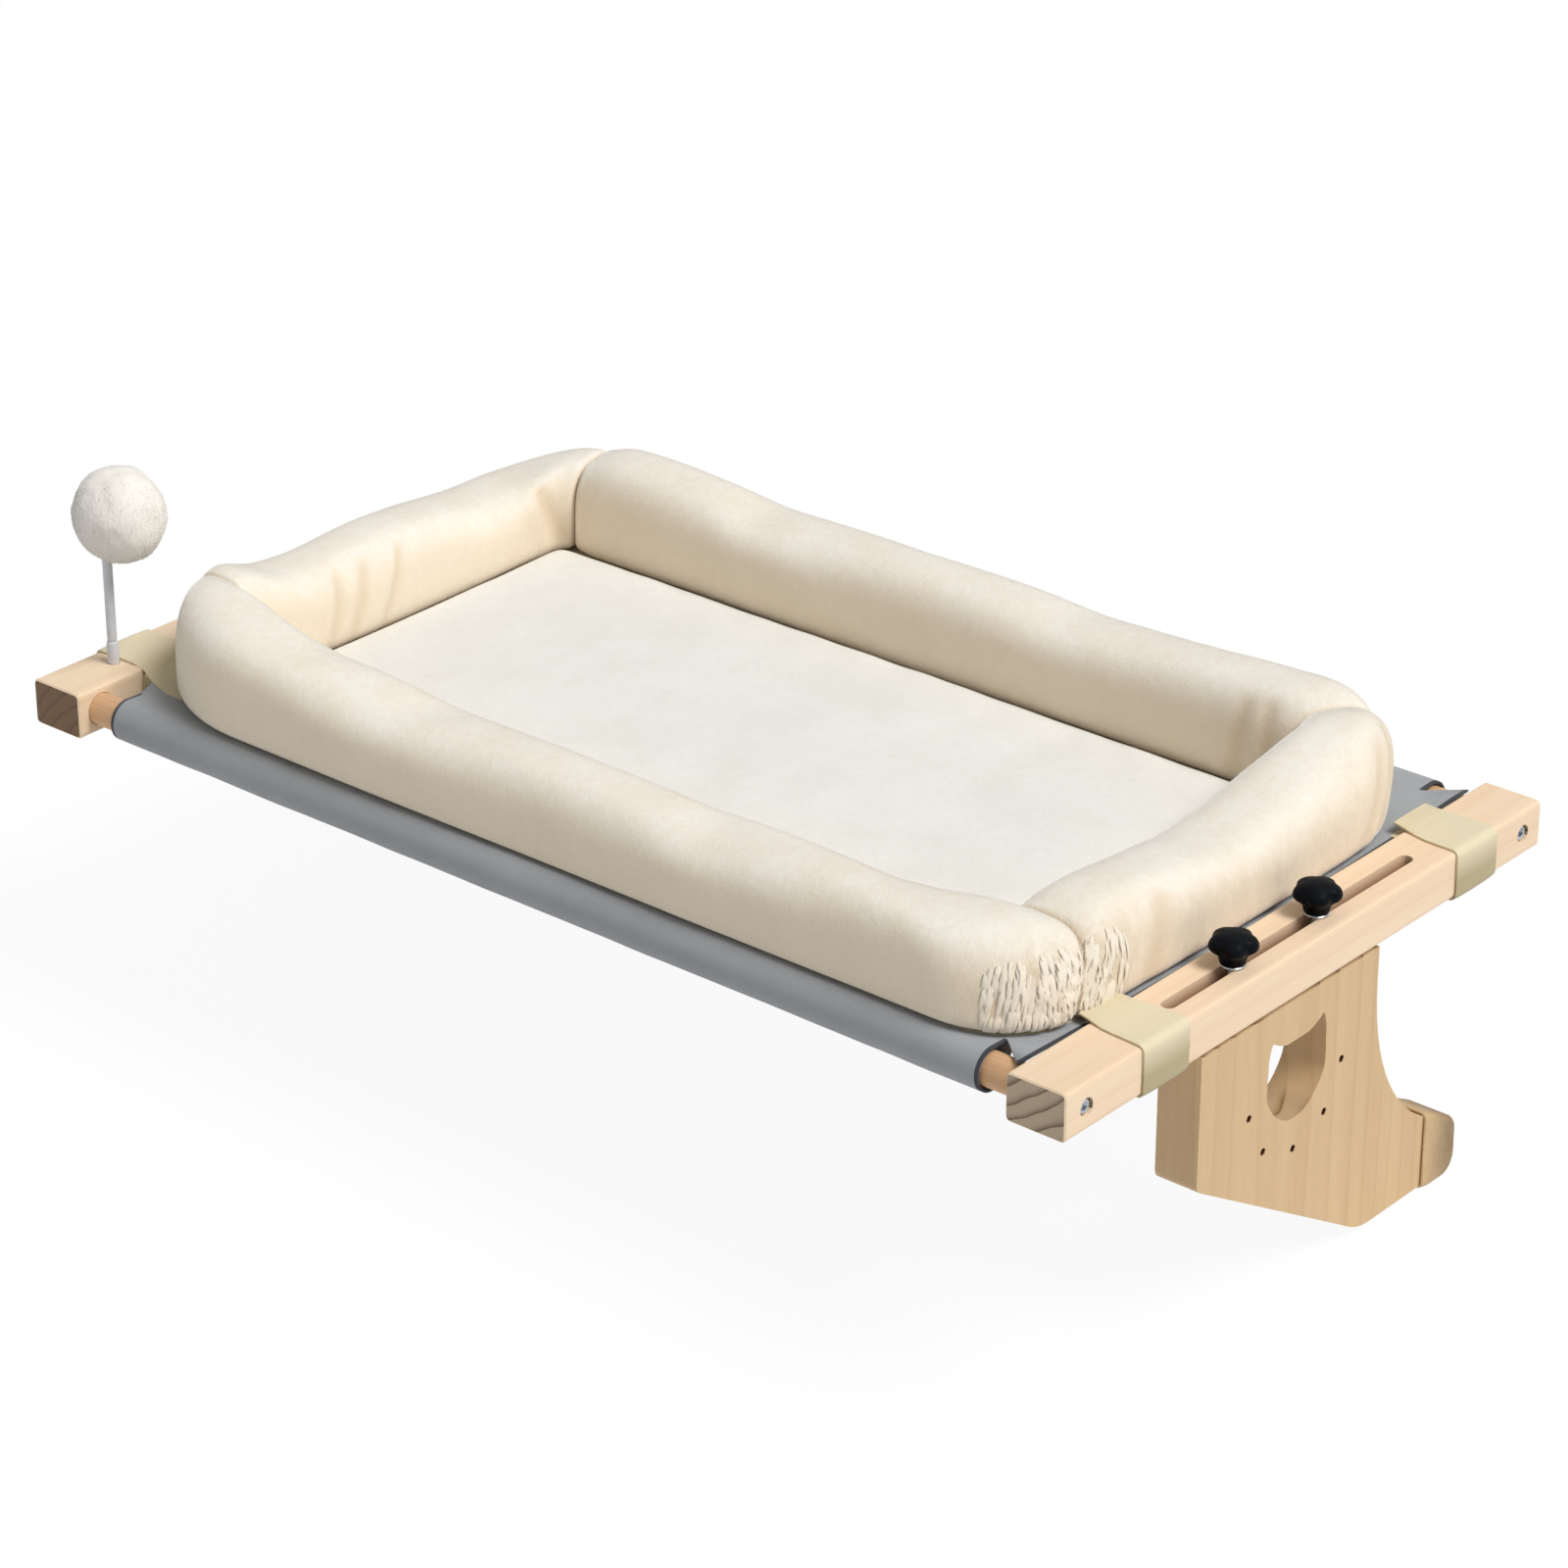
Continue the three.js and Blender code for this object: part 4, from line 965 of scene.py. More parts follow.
def inflate(jobs):
    """Swells soft pieces under pressure. Each job is (object, which of its vertices are
    held, furthest move)."""
    scene = bpy.context.scene
    for obj, held, _ in jobs:
        group = obj.vertex_groups.new(name=CLOTH_SETTINGS["vertex_group_mass"])
        group.add([index for index, fixed in enumerate(held) if fixed], 1.0, "REPLACE")
        mod = obj.modifiers.new("cloth", "CLOTH")
        for key, value in CLOTH_SETTINGS.items():
            setattr(mod.settings, key, value)
        mod.settings.effector_weights.gravity = 0
        mod.point_cache.frame_start = 1
        mod.point_cache.frame_end = SIM_FRAMES
    for number in range(1, SIM_FRAMES + 1):
        scene.frame_set(number)
    graph = bpy.context.evaluated_depsgraph_get()
    for obj, _, most in jobs:
        rest = read_points(obj.data)
        move = read_points(obj.evaluated_get(graph).to_mesh()) - rest
        length = np.linalg.norm(move, axis=1)
        scale = np.where(length > most, most / np.maximum(length, 1e-9), 1.0)
        write_points(obj.data, rest + evened(obj.data, move * scale[:, None]))
    for obj, _, _ in jobs:
        obj.modifiers.remove(obj.modifiers["cloth"])
    scene.frame_set(1)


def evened(mesh, values):
    """Values at a mesh's vertices, averaged with their neighbours' a few times."""
    pairs = np.zeros(len(mesh.edges) * 2, dtype=np.int64)
    mesh.edges.foreach_get("vertices", pairs)
    a, b = pairs.reshape(-1, 2).T
    count = np.zeros(len(mesh.vertices))
    np.add.at(count, a, 1)
    np.add.at(count, b, 1)
    for _ in range(EVEN_ROUNDS):
        total = np.zeros_like(values)
        np.add.at(total, a, values[b])
        np.add.at(total, b, values[a])
        values = 0.5 * values + 0.5 * total / count[:, None]
    return values


def make_bolsters():
    """The four sides of the rim, and what their swelling needs."""
    seam_hold = MESH_STEP * 0.6
    floor_hold = 6 * MM
    made = {}
    jobs = []
    for side in SIDES:
        obj = bolster_mesh(side)
        held = []
        for point, from_seam in zip(read_points(obj.data), read_mark(obj.data, "from_seam")):
            height = point[2] - bed_floor(point[1])
            held.append(from_seam < seam_hold or height < floor_hold)
        made[side] = obj
        jobs.append((obj, held, BOLSTER_SWELL))
    return made, jobs


def loose_share(side, spot):
    """How far the pile has worked loose at a place: wholly round the front right corner,
    a little along the right side."""
    if side == "front":
        return clipped((spot.x - LOOSE_FROM) / LOOSE_FADE)
    if side == "right":
        near = clipped((RIGHT_LOOSE_TO - spot.y) / LOOSE_FADE)
        return RIGHT_LOOSE_SHARE + (1 - RIGHT_LOOSE_SHARE) * near
    return 0.0


def folded(side, along, height, up, inwards):
    """Depth of the folds at a place of a bolster, and the painted shade in their valleys. The
    last two say how far the cover faces up and how far it faces the bed's middle."""
    depth = 0.0
    shade = 0.0
    clear_of_top = clipped((0.86 - up) / 0.3)
    for *lengths, lean, face in FOLDS.get(side, ()):
        place, width, deep = mm(*lengths)
        off = along - place - lean * (height - FOLD_HEIGHT)
        mask = clipped(1.6 * inwards * face) * clear_of_top
        valley = bell(off, width)
        ridge = bell(off - 1.7 * width, 1.3 * width)
        depth += deep * (valley - 0.55 * ridge) * mask
        shade += valley * mask
    return depth, min(1.0, shade)


def shape_bolster(side, obj):
    """Soft waves, folds, worn locks and sewn-in ends on a swollen bolster, and its move to
    the bed's place on the sling."""
    wave_depth = 0.9 * MM
    ripple_depth = 0.35 * MM
    lock_depth = 3.4 * MM
    seam_depth = 1.5 * MM
    seam_width = 3 * MM
    shoulder_depth = 1.8 * MM
    shoulder_width = 12 * MM
    seam_shade_width = 1.7 * MM
    plain_width = 9 * MM
    lift_height = 12 * MM
    edge_x = BED_HALF_X + 1.2 * MM
    back = Matrix.Rotation(-side_sizes(side)[2], 3, "Z")
    shift = Vector((0, BED_SHIFT, 0))
    refine(obj)
    points = read_points(obj.data)
    normals = vertex_normals(obj.data)
    from_seams = read_mark(obj.data, "from_seam")
    cores = read_marks(obj.data, CORE_MARKS)
    marks = {"seam": [], "fold": [], "loose": []}
    for index, away in enumerate(from_seams):
        spot = Vector(points[index])
        n = Vector(normals[index])
        height = spot.z - bed_floor(spot.y)
        lift = clipped(height / lift_height)
        wave = noise.noise(spot * 8) * wave_depth
        wave += noise.noise(spot * 26 + Vector((7, 3, 1))) * ripple_depth
        tuck = seam_depth * bell(away, seam_width) + shoulder_depth * bell(away, shoulder_width)
        fold, shade = folded(side, (back @ spot).x, height, n.z, (back @ n).y)
        worn = loose_share(side, spot + shift) * max(0.0, 1 - n.z * n.z)
        down = Vector((spot.x * 120, spot.y * 120, spot.z * 62))
        swirl = noise.noise_vector(spot * 40) * 1.3
        locks = 0.5 - 1.4 * abs(noise.noise(down + swirl))
        wave += locks * lock_depth * worn * worn
        wave *= min(1.0, away / plain_width)
        inwards = Vector(cores[index]) - spot
        if inwards.length > tuck:
            inwards *= tuck / inwards.length
        moved = spot + n * (wave - fold) * lift + inwards
        moved.z = max(moved.z, bed_floor(moved.y))
        moved.x = max(-edge_x, min(edge_x, moved.x))
        points[index] = moved + shift
        # Marks for the painted shade along the seams and in the folds, and how loose the pile is
        marks["seam"].append(bell(away, seam_shade_width))
        marks["fold"].append(shade * lift)
        marks["loose"].append(worn)
    write_points(obj.data, points)
    for name, values in marks.items():
        put_mark(obj.data, name, values)


def make_fur(bolsters):
    """Pile that has worked loose where the front side meets the right one: flat locks that
    lie down the cover like shingles, each drawn to a soft tip."""
    rng = random.Random(5)
    mesh = ([], [], [])
    for side, tries in FUR_TRIES.items():
        cover = bolsters[side].data
        tree = BVHTree.FromPolygons(
            [v.co for v in cover.vertices], [tuple(f.vertices) for f in cover.polygons]
        )
        places = fur_places(side, cover)
        for _ in range(tries):
            root, n, share = rng.choice(places)
            if rng.random() > share:
                continue
            swirl = noise.noise_vector(root * 30)
            way = Vector((swirl.x * 0.7, swirl.y * 0.7, -1.0))
            way = (way - n * way.dot(n)).normalized()
            length = rng.uniform(*FUR_LENGTHS) * (0.4 + 0.6 * share)
            width = rng.uniform(*FUR_WIDTHS)
            add_lock(tree, root, way, length, width, rng.random(), mesh)
    return mesh_object("rim_corner_fur", *mesh)


def fur_places(side, cover):
    """Faces where the pile is loose, found before the swelling: centre, normal and how
    loose."""
    away = read_mark(cover, "from_seam")
    homes = read_marks(cover, HOME_MARKS)
    facings = read_marks(cover, FACING_MARKS)
    places = []
    for face in cover.polygons:
        own = list(face.vertices)
        home = Vector(homes[own].mean(axis=0))
        n = Vector(facings[own].mean(axis=0)).normalized()
        outwards = (n.x > 0.2 or n.y < -0.2) and n.z < 0.85
        clear_of_seam = away[own].min() > FUR_FROM_SEAM
        if outwards and clear_of_seam and home.z > bed_floor(home.y) + FUR_FROM_FLOOR:
            share = loose_share(side, home) * min(1.0, 2.4 * (0.98 - n.z))
            if share > RIGHT_LOOSE_SHARE + 0.1:
                places.append((face.center.copy(), face.normal.copy(), share))
    return places


def add_lock(tree, root, way, length, width, tone, mesh):
    """One flattened lock that keeps to the cover below it. The first number of its map is
    the share of the way from the root, the second its own tone."""
    points, faces, uvs = mesh
    first = len(points)
    step = length / FUR_LEVELS
    per_ring = len(FUR_SECTION_SHARES)
    spot = root
    for level in range(FUR_LEVELS):
        share = level / FUR_LEVELS
        spot, n = tree.find_nearest(spot + way * step)[:2]
        way = (way - n * way.dot(n)).normalized()
        side = way.cross(n)
        lift = FUR_ARCH * math.sin(math.pi * 0.92 * share) - FUR_ROOT_DEPTH
        own = width * math.sqrt(1 - share) * min(1.0, 0.35 + 2.5 * share)
        for across, up in FUR_SECTION_SHARES:
            points.append(spot + side * across * own + n * (lift + up * own))
            uvs.append((share, tone))
    tip = len(points)
    points.append(spot + way * step)
    uvs.append((1.0, tone))
    for face in ring_faces(FUR_LEVELS, per_ring):
        faces.append(tuple(first + face[k] for k in (1, 0, 3, 2)))
    last = tip - per_ring
    for k in range(per_ring):
        faces.append((last + (k + 1) % per_ring, last + k, tip))
    faces.append(tuple(range(first, first + per_ring)))


def make_pad():
    """Base pad inside the rim: crowned, with its edge drawn in under the rim."""
    rim_hold = 6 * MM
    under_hold = 2 * MM
    half_x, half_y, _ = size("base_pad") / 2
    nx = round(2 * half_x / MESH_STEP)
    ny = round(2 * half_y / MESH_STEP)
    points = []
    index_of = {}
    for level in (0, 1):
        for i in range(nx + 1):
            for j in range(ny + 1):
                if level == 1 and (i in (0, nx) or j in (0, ny)):
                    index_of[1, i, j] = index_of[0, i, j]
                    continue
                u = 2 * i / nx - 1
                v = 2 * j / ny - 1
                x, y = round_corner(u * half_x, v * half_y, half_x, half_y, PAD_CORNER_RADIUS)
                d = min(half_x * (1 - abs(u)), half_y * (1 - abs(v)))
                rise = math.sqrt(max(0.0, 1 - (1 - min(1, d / PAD_EDGE)) ** 2))
                z = bed_floor(y) + PAD_EDGE * 0.5 * (1 + (rise if level else -rise))
                z += level * PAD_CROWN * (1 - u * u) * (1 - v * v)
                index_of[level, i, j] = len(points)
                points.append((x, y, z))
    faces = []
    for level in (0, 1):
        for i in range(nx):
            for j in range(ny):
                ring = ((i, j), (i + 1, j), (i + 1, j + 1), (i, j + 1))
                face = tuple(index_of[level, *at] for at in ring)
                faces.append(face if level else face[::-1])
    obj = mesh_object("base_pad_cushion", points, faces)
    held = []
    for x, y, z in points:
        near_rim = min(half_x - abs(x), half_y - abs(y)) < rim_hold
        held.append(near_rim or z < bed_floor(y) + under_hold)
    return obj, (obj, held, PAD_SWELL)


def shape_pad(obj):
    """Soft hollows and a ripple near the pad's seam."""
    under = 2.5 * MM
    hollow_depth = 1.6 * MM
    small_hollow_depth = 0.6 * MM
    ripple_depth = 0.5 * MM
    ripple_length = 6 * MM
    ripple_reach = 16 * MM
    plain_width = 10 * MM
    half_x, half_y, _ = size("base_pad") / 2
    points = read_points(obj.data)
    for point in points:
        x, y, z = point
        point[1] = y + BED_SHIFT
        if z < bed_floor(y) + under:
            continue
        d = min(half_x - abs(x), half_y - abs(y))
        spot = Vector((x, y, 0))
        wave = noise.noise(spot * 11) * hollow_depth + noise.noise(spot * 33) * small_hollow_depth
        ripple = math.sin((x + 0.6 * y) / ripple_length + 3 * noise.noise(spot * 20))
        wave += ripple * ripple_depth * math.exp(-d / ripple_reach)
        point[2] = z + wave * min(1.0, d / plain_width)
    write_points(obj.data, points)


def make_bottom():
    """Bottom cloth on the sling, with an edge that lifts a little in places and corners that lie
    past the rim.
    """
    curl_depth = 0.5 * MM
    curl_width = 12 * MM
    half_x = high("bed_bottom").x - BOTTOM_TUCK
    half_y = size("bed_bottom").y / 2 - BOTTOM_TUCK
    nx = round(half_x / MESH_STEP)
    ny = round(half_y / MESH_STEP)
    points = []
    uvs = []
    for i in range(nx + 1):
        for j in range(ny + 1):
            x = (2 * i / nx - 1) * half_x
            y = (2 * j / ny - 1) * half_y
            left = x < 0
            corner = (3 if left else 2) if y > 0 else (0 if left else 1)
            x, y = round_corner(x, y, half_x, half_y, BOTTOM_CORNER_RADII[corner])
            edge = min(half_x - abs(x), half_y - abs(y))
            curl = noise.noise(Vector((x, y, 0)) * 25) * curl_depth
            z = bed_floor(y) - SEAT_GAP + max(0.0, curl) * (edge < curl_width)
            points.append((x, y + BED_SHIFT, z))
            uvs.append((x, y))
    faces = [(a, d, c, b) for a, b, c, d in ring_faces(nx + 1, ny + 1, around=False)]
    obj = mesh_object("bed_bottom_cloth", points, faces, uvs)
    thicken(obj, BOTTOM_THICKNESS)
    finish_piece(obj, "bed_frame", BOTTOM_CLOTH, ("bed_bottom",))


# Sling


def sling_path():
    """The sling's section from one hem to the other: (y, z) of its outer surface."""
    hem_y = TUBE_Y - SLEEVE_RADIUS - HEM_DROP
    half = []
    count = max(8, round(hem_y / (2 * MESH_STEP)))
    for i in range(count + 1):
        y = TUBE_Y * i / count
        half.append((y, sling_top(y)))
    for i in range(1, SLEEVE_TURNS + 1):
        angle = math.pi / 2 - math.pi * 1.5 * i / SLEEVE_TURNS
        out = SLEEVE_RADIUS * math.cos(angle)
        half.append((TUBE_Y + out, TUBE_Z + SLEEVE_RADIUS * math.sin(angle)))
    last_y, last_z = half[-1]
    under = sling_top(hem_y) - SLING_THICKNESS * 2 - SEAT_GAP
    for i in range(1, HEM_STEPS + 1):
        share = i / HEM_STEPS
        eased = share * share * (3 - 2 * share)
        half.append((last_y + (hem_y - last_y) * share, last_z + (under - last_z) * eased))
    return [(-y, z) for y, z in reversed(half[1:])] + half


def make_sling():
    """Panel and sleeves as one cloth. Its side edges and the sleeves' ends are bound with
    a dark tape, which also stands as painted shade for the dark gaps beside the rails, and
    its corners run on a slant from the panel to the sleeves."""
    pull_depth = 0.35 * MM
    path = sling_path()
    lengths = [0.0]
    for a, b in zip(path, path[1:]):
        lengths.append(lengths[-1] + math.dist(a, b))
    panel_half = RAIL_INNER - PANEL_GAP
    corner_y = TUBE_Y - SLEEVE_RADIUS
    count = round(SLEEVE_HALF / MESH_STEP)
    inner_half = SLEEVE_HALF - TAPE_WIDTH
    columns = [-panel_half, TAPE_WIDTH - panel_half, -SLEEVE_HALF]
    columns += [(2 * i / count - 1) * inner_half for i in range(count + 1)]
    columns += [SLEEVE_HALF, panel_half - TAPE_WIDTH, panel_half]
    points = []
    uvs = []
    for x in columns:
        beyond = max(0.0, abs(x) - SLEEVE_HALF) / (panel_half - SLEEVE_HALF)
        corner = RIGHT_PANEL_HALF_Y if x > 0 else LEFT_PANEL_HALF_Y
        narrow = 1 - beyond * (1 - corner / corner_y)
        for (y, z), length in zip(path, lengths):
            if beyond > 0:
                y = y * narrow
                z = sling_top(y)
            if abs(y) > corner_y:
                z += noise.noise(Vector((x * 40, y * 90, z * 90))) * pull_depth
            points.append((x, y, z))
            uvs.append((x, length))
    rows = len(path)
    sleeve_rows = SLEEVE_TURNS + HEM_STEPS
    last = len(columns) - 2
    faces = []
    taped = []
    for i in range(len(columns) - 1):
        outside = i < 2 or i > last - 2
        for j in range(rows - 1):
            on_panel = max(abs(path[j][0]), abs(path[j + 1][0])) <= corner_y + 1e-6
            if outside and (not on_panel or j < sleeve_rows or j > rows - 2 - sleeve_rows):
                continue
            a = i * rows + j
            b = a + rows
            faces.append((a, a + 1, b + 1, b))
            taped.append(i in (0, last) or (i in (2, last - 2) and not on_panel))
    used = sorted({v for face in faces for v in face})
    renumber = {old: new for new, old in enumerate(used)}
    faces = [tuple(renumber[v] for v in face) for face in faces]
    obj = mesh_object("sling_sheet", [points[v] for v in used], faces, [uvs[v] for v in used])
    thicken(obj, SLING_THICKNESS)
    finish_piece(obj, "bed_frame", SLING_CLOTH, ("sling",))
    obj.data.materials.append(BINDING_AND_PAINTED_SHADE)
    obj.data.polygons.foreach_set("material_index", [int(v) for v in taped])


def run_lengths(points):
    """How far along a line each of its points lies."""
    lengths = [0.0]
    for a, b in zip(points, points[1:]):
        lengths.append(lengths[-1] + (b - a).length)
    return lengths


# Straps


def strap_path(tongue):
    """Middle line of a strap round the right rail: (x, z) points with rounded bends. Its
    flap ends on the bed's side, or runs under the bed as a tongue."""
    off = SEAT_GAP + STRAP_THICKNESS / 2
    cloth = BED_HALF_X + SEAT_GAP
    flap_end = cloth - STRAP_FLAP_END
    last_z = SLING_EDGE_Z - STRAP_END_DEPTH
    corners = [(flap_end, RAIL_TOP + off + STRAP_FLAP_RISE, 0)]
    if tongue:
        under = SLING_EDGE_Z + STRAP_THICKNESS / 2
        corners = [(cloth - tongue, under, 0), (flap_end, under, STRAP_FLAP_RADIUS)]
    corners += [
        (cloth + STRAP_FLAP_RUN, RAIL_TOP + off, STRAP_FLAP_RADIUS),
        (RAIL_OUTER + off, RAIL_TOP + off, STRAP_BEND_RADIUS),
        (RAIL_OUTER + off, -off, STRAP_BEND_RADIUS),
        (RAIL_INNER - off, -off, STRAP_BEND_RADIUS),
        (RAIL_INNER - off, last_z, STRAP_END_RADIUS),
        (BED_HALF_X - STRAP_END_TUCK, last_z, 0),
    ]
    return rounded_line(corners, STRAP_STEP)


def rounded_line(corners, step):
    """Points along a line through (x, z, radius) corners, with an arc at each corner."""
    arc_steps = 8
    points = []
    for i, (x, z, radius) in enumerate(corners):
        here = Vector((x, z))
        if radius == 0:
            points.append(here)
            continue
        before = (Vector(corners[i - 1][:2]) - here).normalized()
        after = (Vector(corners[i + 1][:2]) - here).normalized()
        half_angle = before.angle(after) / 2
        reach = radius / math.tan(half_angle)
        centre = here + (before + after).normalized() * radius / math.sin(half_angle)
        a = here + before * reach - centre
        b = here + after * reach - centre
        whole = a.angle(b)
        for k in range(arc_steps + 1):
            share = k / arc_steps
            p = a * math.sin((1 - share) * whole) + b * math.sin(share * whole)
            points.append(centre + p / math.sin(whole))
    fine = [points[0]]
    for a, b in zip(points, points[1:]):
        count = max(1, math.ceil((b - a).length / step))
        fine += [a.lerp(b, k / count) for k in range(1, count + 1)]
    return fine


def make_strap(side, end):
    """Webbing round a rail, with soft waves, ragged edges and a drawn-in end."""
    bend_depth = 0.5 * MM
    ragged_depth = 0.25 * MM
    cup_depth = 0.25 * MM
    drawn_run = 16 * MM
    across = 12
    node = f"{side}_{end}_strap"
    centre_y = middle(node).y
    mirror = -1 if side == "left" else 1
    tongue = STRAP_TONGUES.get((side, end), 0)
    path = strap_path(tongue)
    runs = run_lengths(path)
    shares = [2 * j / across - 1 for j in range(across + 1)]
    section = [(share, 1.0) for share in shares] + [(-share, -1.0) for share in shares]
    points = []
    uvs = []
    for i, (here, run) in enumerate(zip(path, runs)):
        tangent = (path[min(len(path) - 1, i + 1)] - path[max(0, i - 1)]).normalized()
        normal = Vector((-tangent.y, tangent.x))
        bend = noise.noise(Vector((run * 60, centre_y * 50, mirror))) * bend_depth
        for share, face in section:
            edge_thin = 1 - 0.35 * abs(share) ** 8
            offset = face * STRAP_THICKNESS / 2 * edge_thin
            p = here - normal * (offset + cup_depth * share * share)
            ragged = noise.noise(Vector((run * 300, share * 9, centre_y * 70))) * ragged_depth
            drawn = 1 - 0.2 * bell(run, drawn_run)
            y = centre_y + share * (STRAP_WIDTH / 2 * drawn + ragged) + bend
            z = p.y
            if tongue:
                on_tongue = max(0.0, 1 - run / tongue)
                y -= TONGUE_FLARE * on_tongue * (1 - share) / 2
                z += (sling_top(y) - SLING_EDGE_Z) * on_tongue
            points.append((mirror * p.x, y, z))
            uvs.append((share * STRAP_WIDTH / 2, run))
    faces = ring_faces(len(path), len(section)) + end_faces(len(path), len(section))
    if mirror > 0:
        faces = [tuple(reversed(face)) for face in faces]
    obj = mesh_object(f"{node}_band", points, faces, uvs)
    sharpen(obj, 60)
    finish_piece(obj, "bed_frame", WEBBING, (node,))


# Feet


def make_foot_cover(side):
    """Felt wrapped round the tip of a foot, open at its front edge."""
    outline_step = 1 * MM
    outline_count = 44
    bump_depth = 0.12 * MM
    edge_inset = 0.85 * MM
    edge_reach = 7 * MM
    steps = 6
    edge = FELT_EDGE_RADIUS
    node = f"{side}_foot_cover"
    a = low(node)
    b = high(node)
    corners = [
        (a.y, b.z, 0),
        (b.y, b.z - (b.y - a.y) * FOOT_TOP_SLOPE, FOOT_BACK_RADIUS),
        (b.y, a.z, FOOT_BACK_RADIUS),
        (a.y, a.z, 0),
    ]
    outline = resample(rounded_line(corners, outline_step), outline_count)
    hub = Vector((a.y, (a.z + b.z) / 2))
    half = (b.x - a.x) / 2
    centre_x = (a.x + b.x) / 2
    # Layers from one side to the other: offset, share of the way out, and inset from there
    layers = [(-half, k / steps, edge) for k in range(steps)]
    for k in range(steps + 1):
        angle = math.pi / 2 * k / steps
        layers.append((-half + edge * (1 - math.cos(angle)), 1, edge * (1 - math.sin(angle))))
    layers += [(-layer[0], *layer[1:]) for layer in reversed(layers)]
    points = []
    for offset, share, inset in layers:
        for p in outline:
            q = hub + (p - hub) * share * (1 - inset / (p - hub).length)
            q.x = a.y if abs(p.x - a.y) < 1e-6 else q.x
            bump = noise.noise(Vector((offset * 300, q.x * 300, q.y * 300))) * bump_depth
            near_edge = max(0.0, 1 - (q.x - a.y) / edge_reach) ** 2
            drawn = edge_inset * near_edge
            x = math.copysign(abs(offset) - drawn, offset)
            z = q.y + math.copysign(drawn, hub.y - q.y)
            points.append((centre_x + x + bump, q.x + bump, z + bump))
    faces = ring_faces(len(layers), len(outline), around=False)
    obj = mesh_object(f"{node}_felt", points, faces)
    thicken(obj, FELT_THICKNESS)
    finish_piece(obj, f"{side}_leg_body", FOOT_FELT, (node,))


def resample(points, count):
    """As many points as asked for, evenly spread along a line."""
    lengths = run_lengths(points)
    out = []
    j = 0
    for i in range(count):
        target = lengths[-1] * i / (count - 1)
        while j + 2 < len(points) and lengths[j + 1] < target:
            j += 1
        span = max(1e-9, lengths[j + 1] - lengths[j])
        out.append(points[j].lerp(points[j + 1], (target - lengths[j]) / span))
    return out


# Screws, washers and knobs

# Star knob from its foot up: shares of its height, its radius and its lobes' depth
KNOB_SHARES = (
    (0.0, 0.5, 0), (0.02, 0.54, 0), (0.1, 0.57, 0), (0.2, 0.6, 0.03), (0.29, 0.66, 0.15),
    (0.36, 0.75, 0.4), (0.42, 0.86, 0.75), (0.48, 0.95, 0.95), (0.54, 1.0, 1), (0.6, 1.01, 1),
    (0.67, 1.0, 1), (0.74, 0.965, 1), (0.81, 0.9, 0.9), (0.87, 0.79, 0.75), (0.92, 0.65, 0.55),
    (0.96, 0.47, 0.3), (0.985, 0.28, 0.1), (0.997, 0.12, 0), (1.0, 0.02, 0),
)


def make_knob(side, end):
    """Star knob: a hub that widens into a domed head with five lobes."""
    node = f"{side}_{end}_knob"
    height = size(node).z
    x, y, _ = middle(f"{side}_{end}_stud")

    def lobed(i, r, z, angle):
        wave = math.cos(KNOB_LOBES * (angle - KNOB_TURNS[side]))
        rounded = wave - 0.18 * math.cos(2 * KNOB_LOBES * (angle - KNOB_TURNS[side]))
        return r * (1 + KNOB_LOBE_SHARE * KNOB_SHARES[i][2] * (rounded - 0.3))

    profile = [(KNOB_RADIUS * r, height * z) for z, r, _ in KNOB_SHARES]
    obj = lathe(f"{node}_head", profile, KNOB_STEPS, Vector((x, y, low(node).z)), lobed)
    finish_piece(obj, f"{side}_{end}_knob_body", KNOB_PLASTIC, (node,))


def make_stud(side, end):
    """Threaded stud: a helical thread over a core, tapered where it starts."""
    node = f"{side}_{end}_stud"
    length = size(node).z
    count = round(length / THREAD_PITCH * THREAD_LEVELS)
    profile = [(THREAD_RADIUS, length * i / count) for i in range(count + 1)]

    def thread(i, r, z, angle):
        phase = (z / THREAD_PITCH - angle / (2 * math.pi)) % 1
        taper = min(1.0, (i + 2) / 12)
        return (r - THREAD_DEPTH * abs(2 * phase - 1)) * (0.75 + 0.25 * taper)

    obj = lathe(f"{node}_thread", profile, THREAD_STEPS, underside(node), thread)
    finish_piece(obj, f"{side}_{end}_knob_body", SCREW_STEEL, (node,))


def make_washer(side, end):
    """Flat washer with chamfered edges."""
    node = f"{side}_{end}_washer"
    bore = WASHER_BORE_RADIUS
    rim = size(node).x / 2
    top = size(node).z
    c = WASHER_CHAMFER
    profile = [
        (bore, c), (bore + c, 0), (rim - c, 0), (rim, c),
        (rim, top - c), (rim - c, top), (bore + c, top), (bore, top - c),
    ]
    obj = lathe(f"{node}_ring", profile, WASHER_STEPS, underside(node), wrapped=True)
    sharpen(obj, 30)
    finish_piece(obj, f"{side}_{end}_washer_body", SCREW_STEEL, (node,))


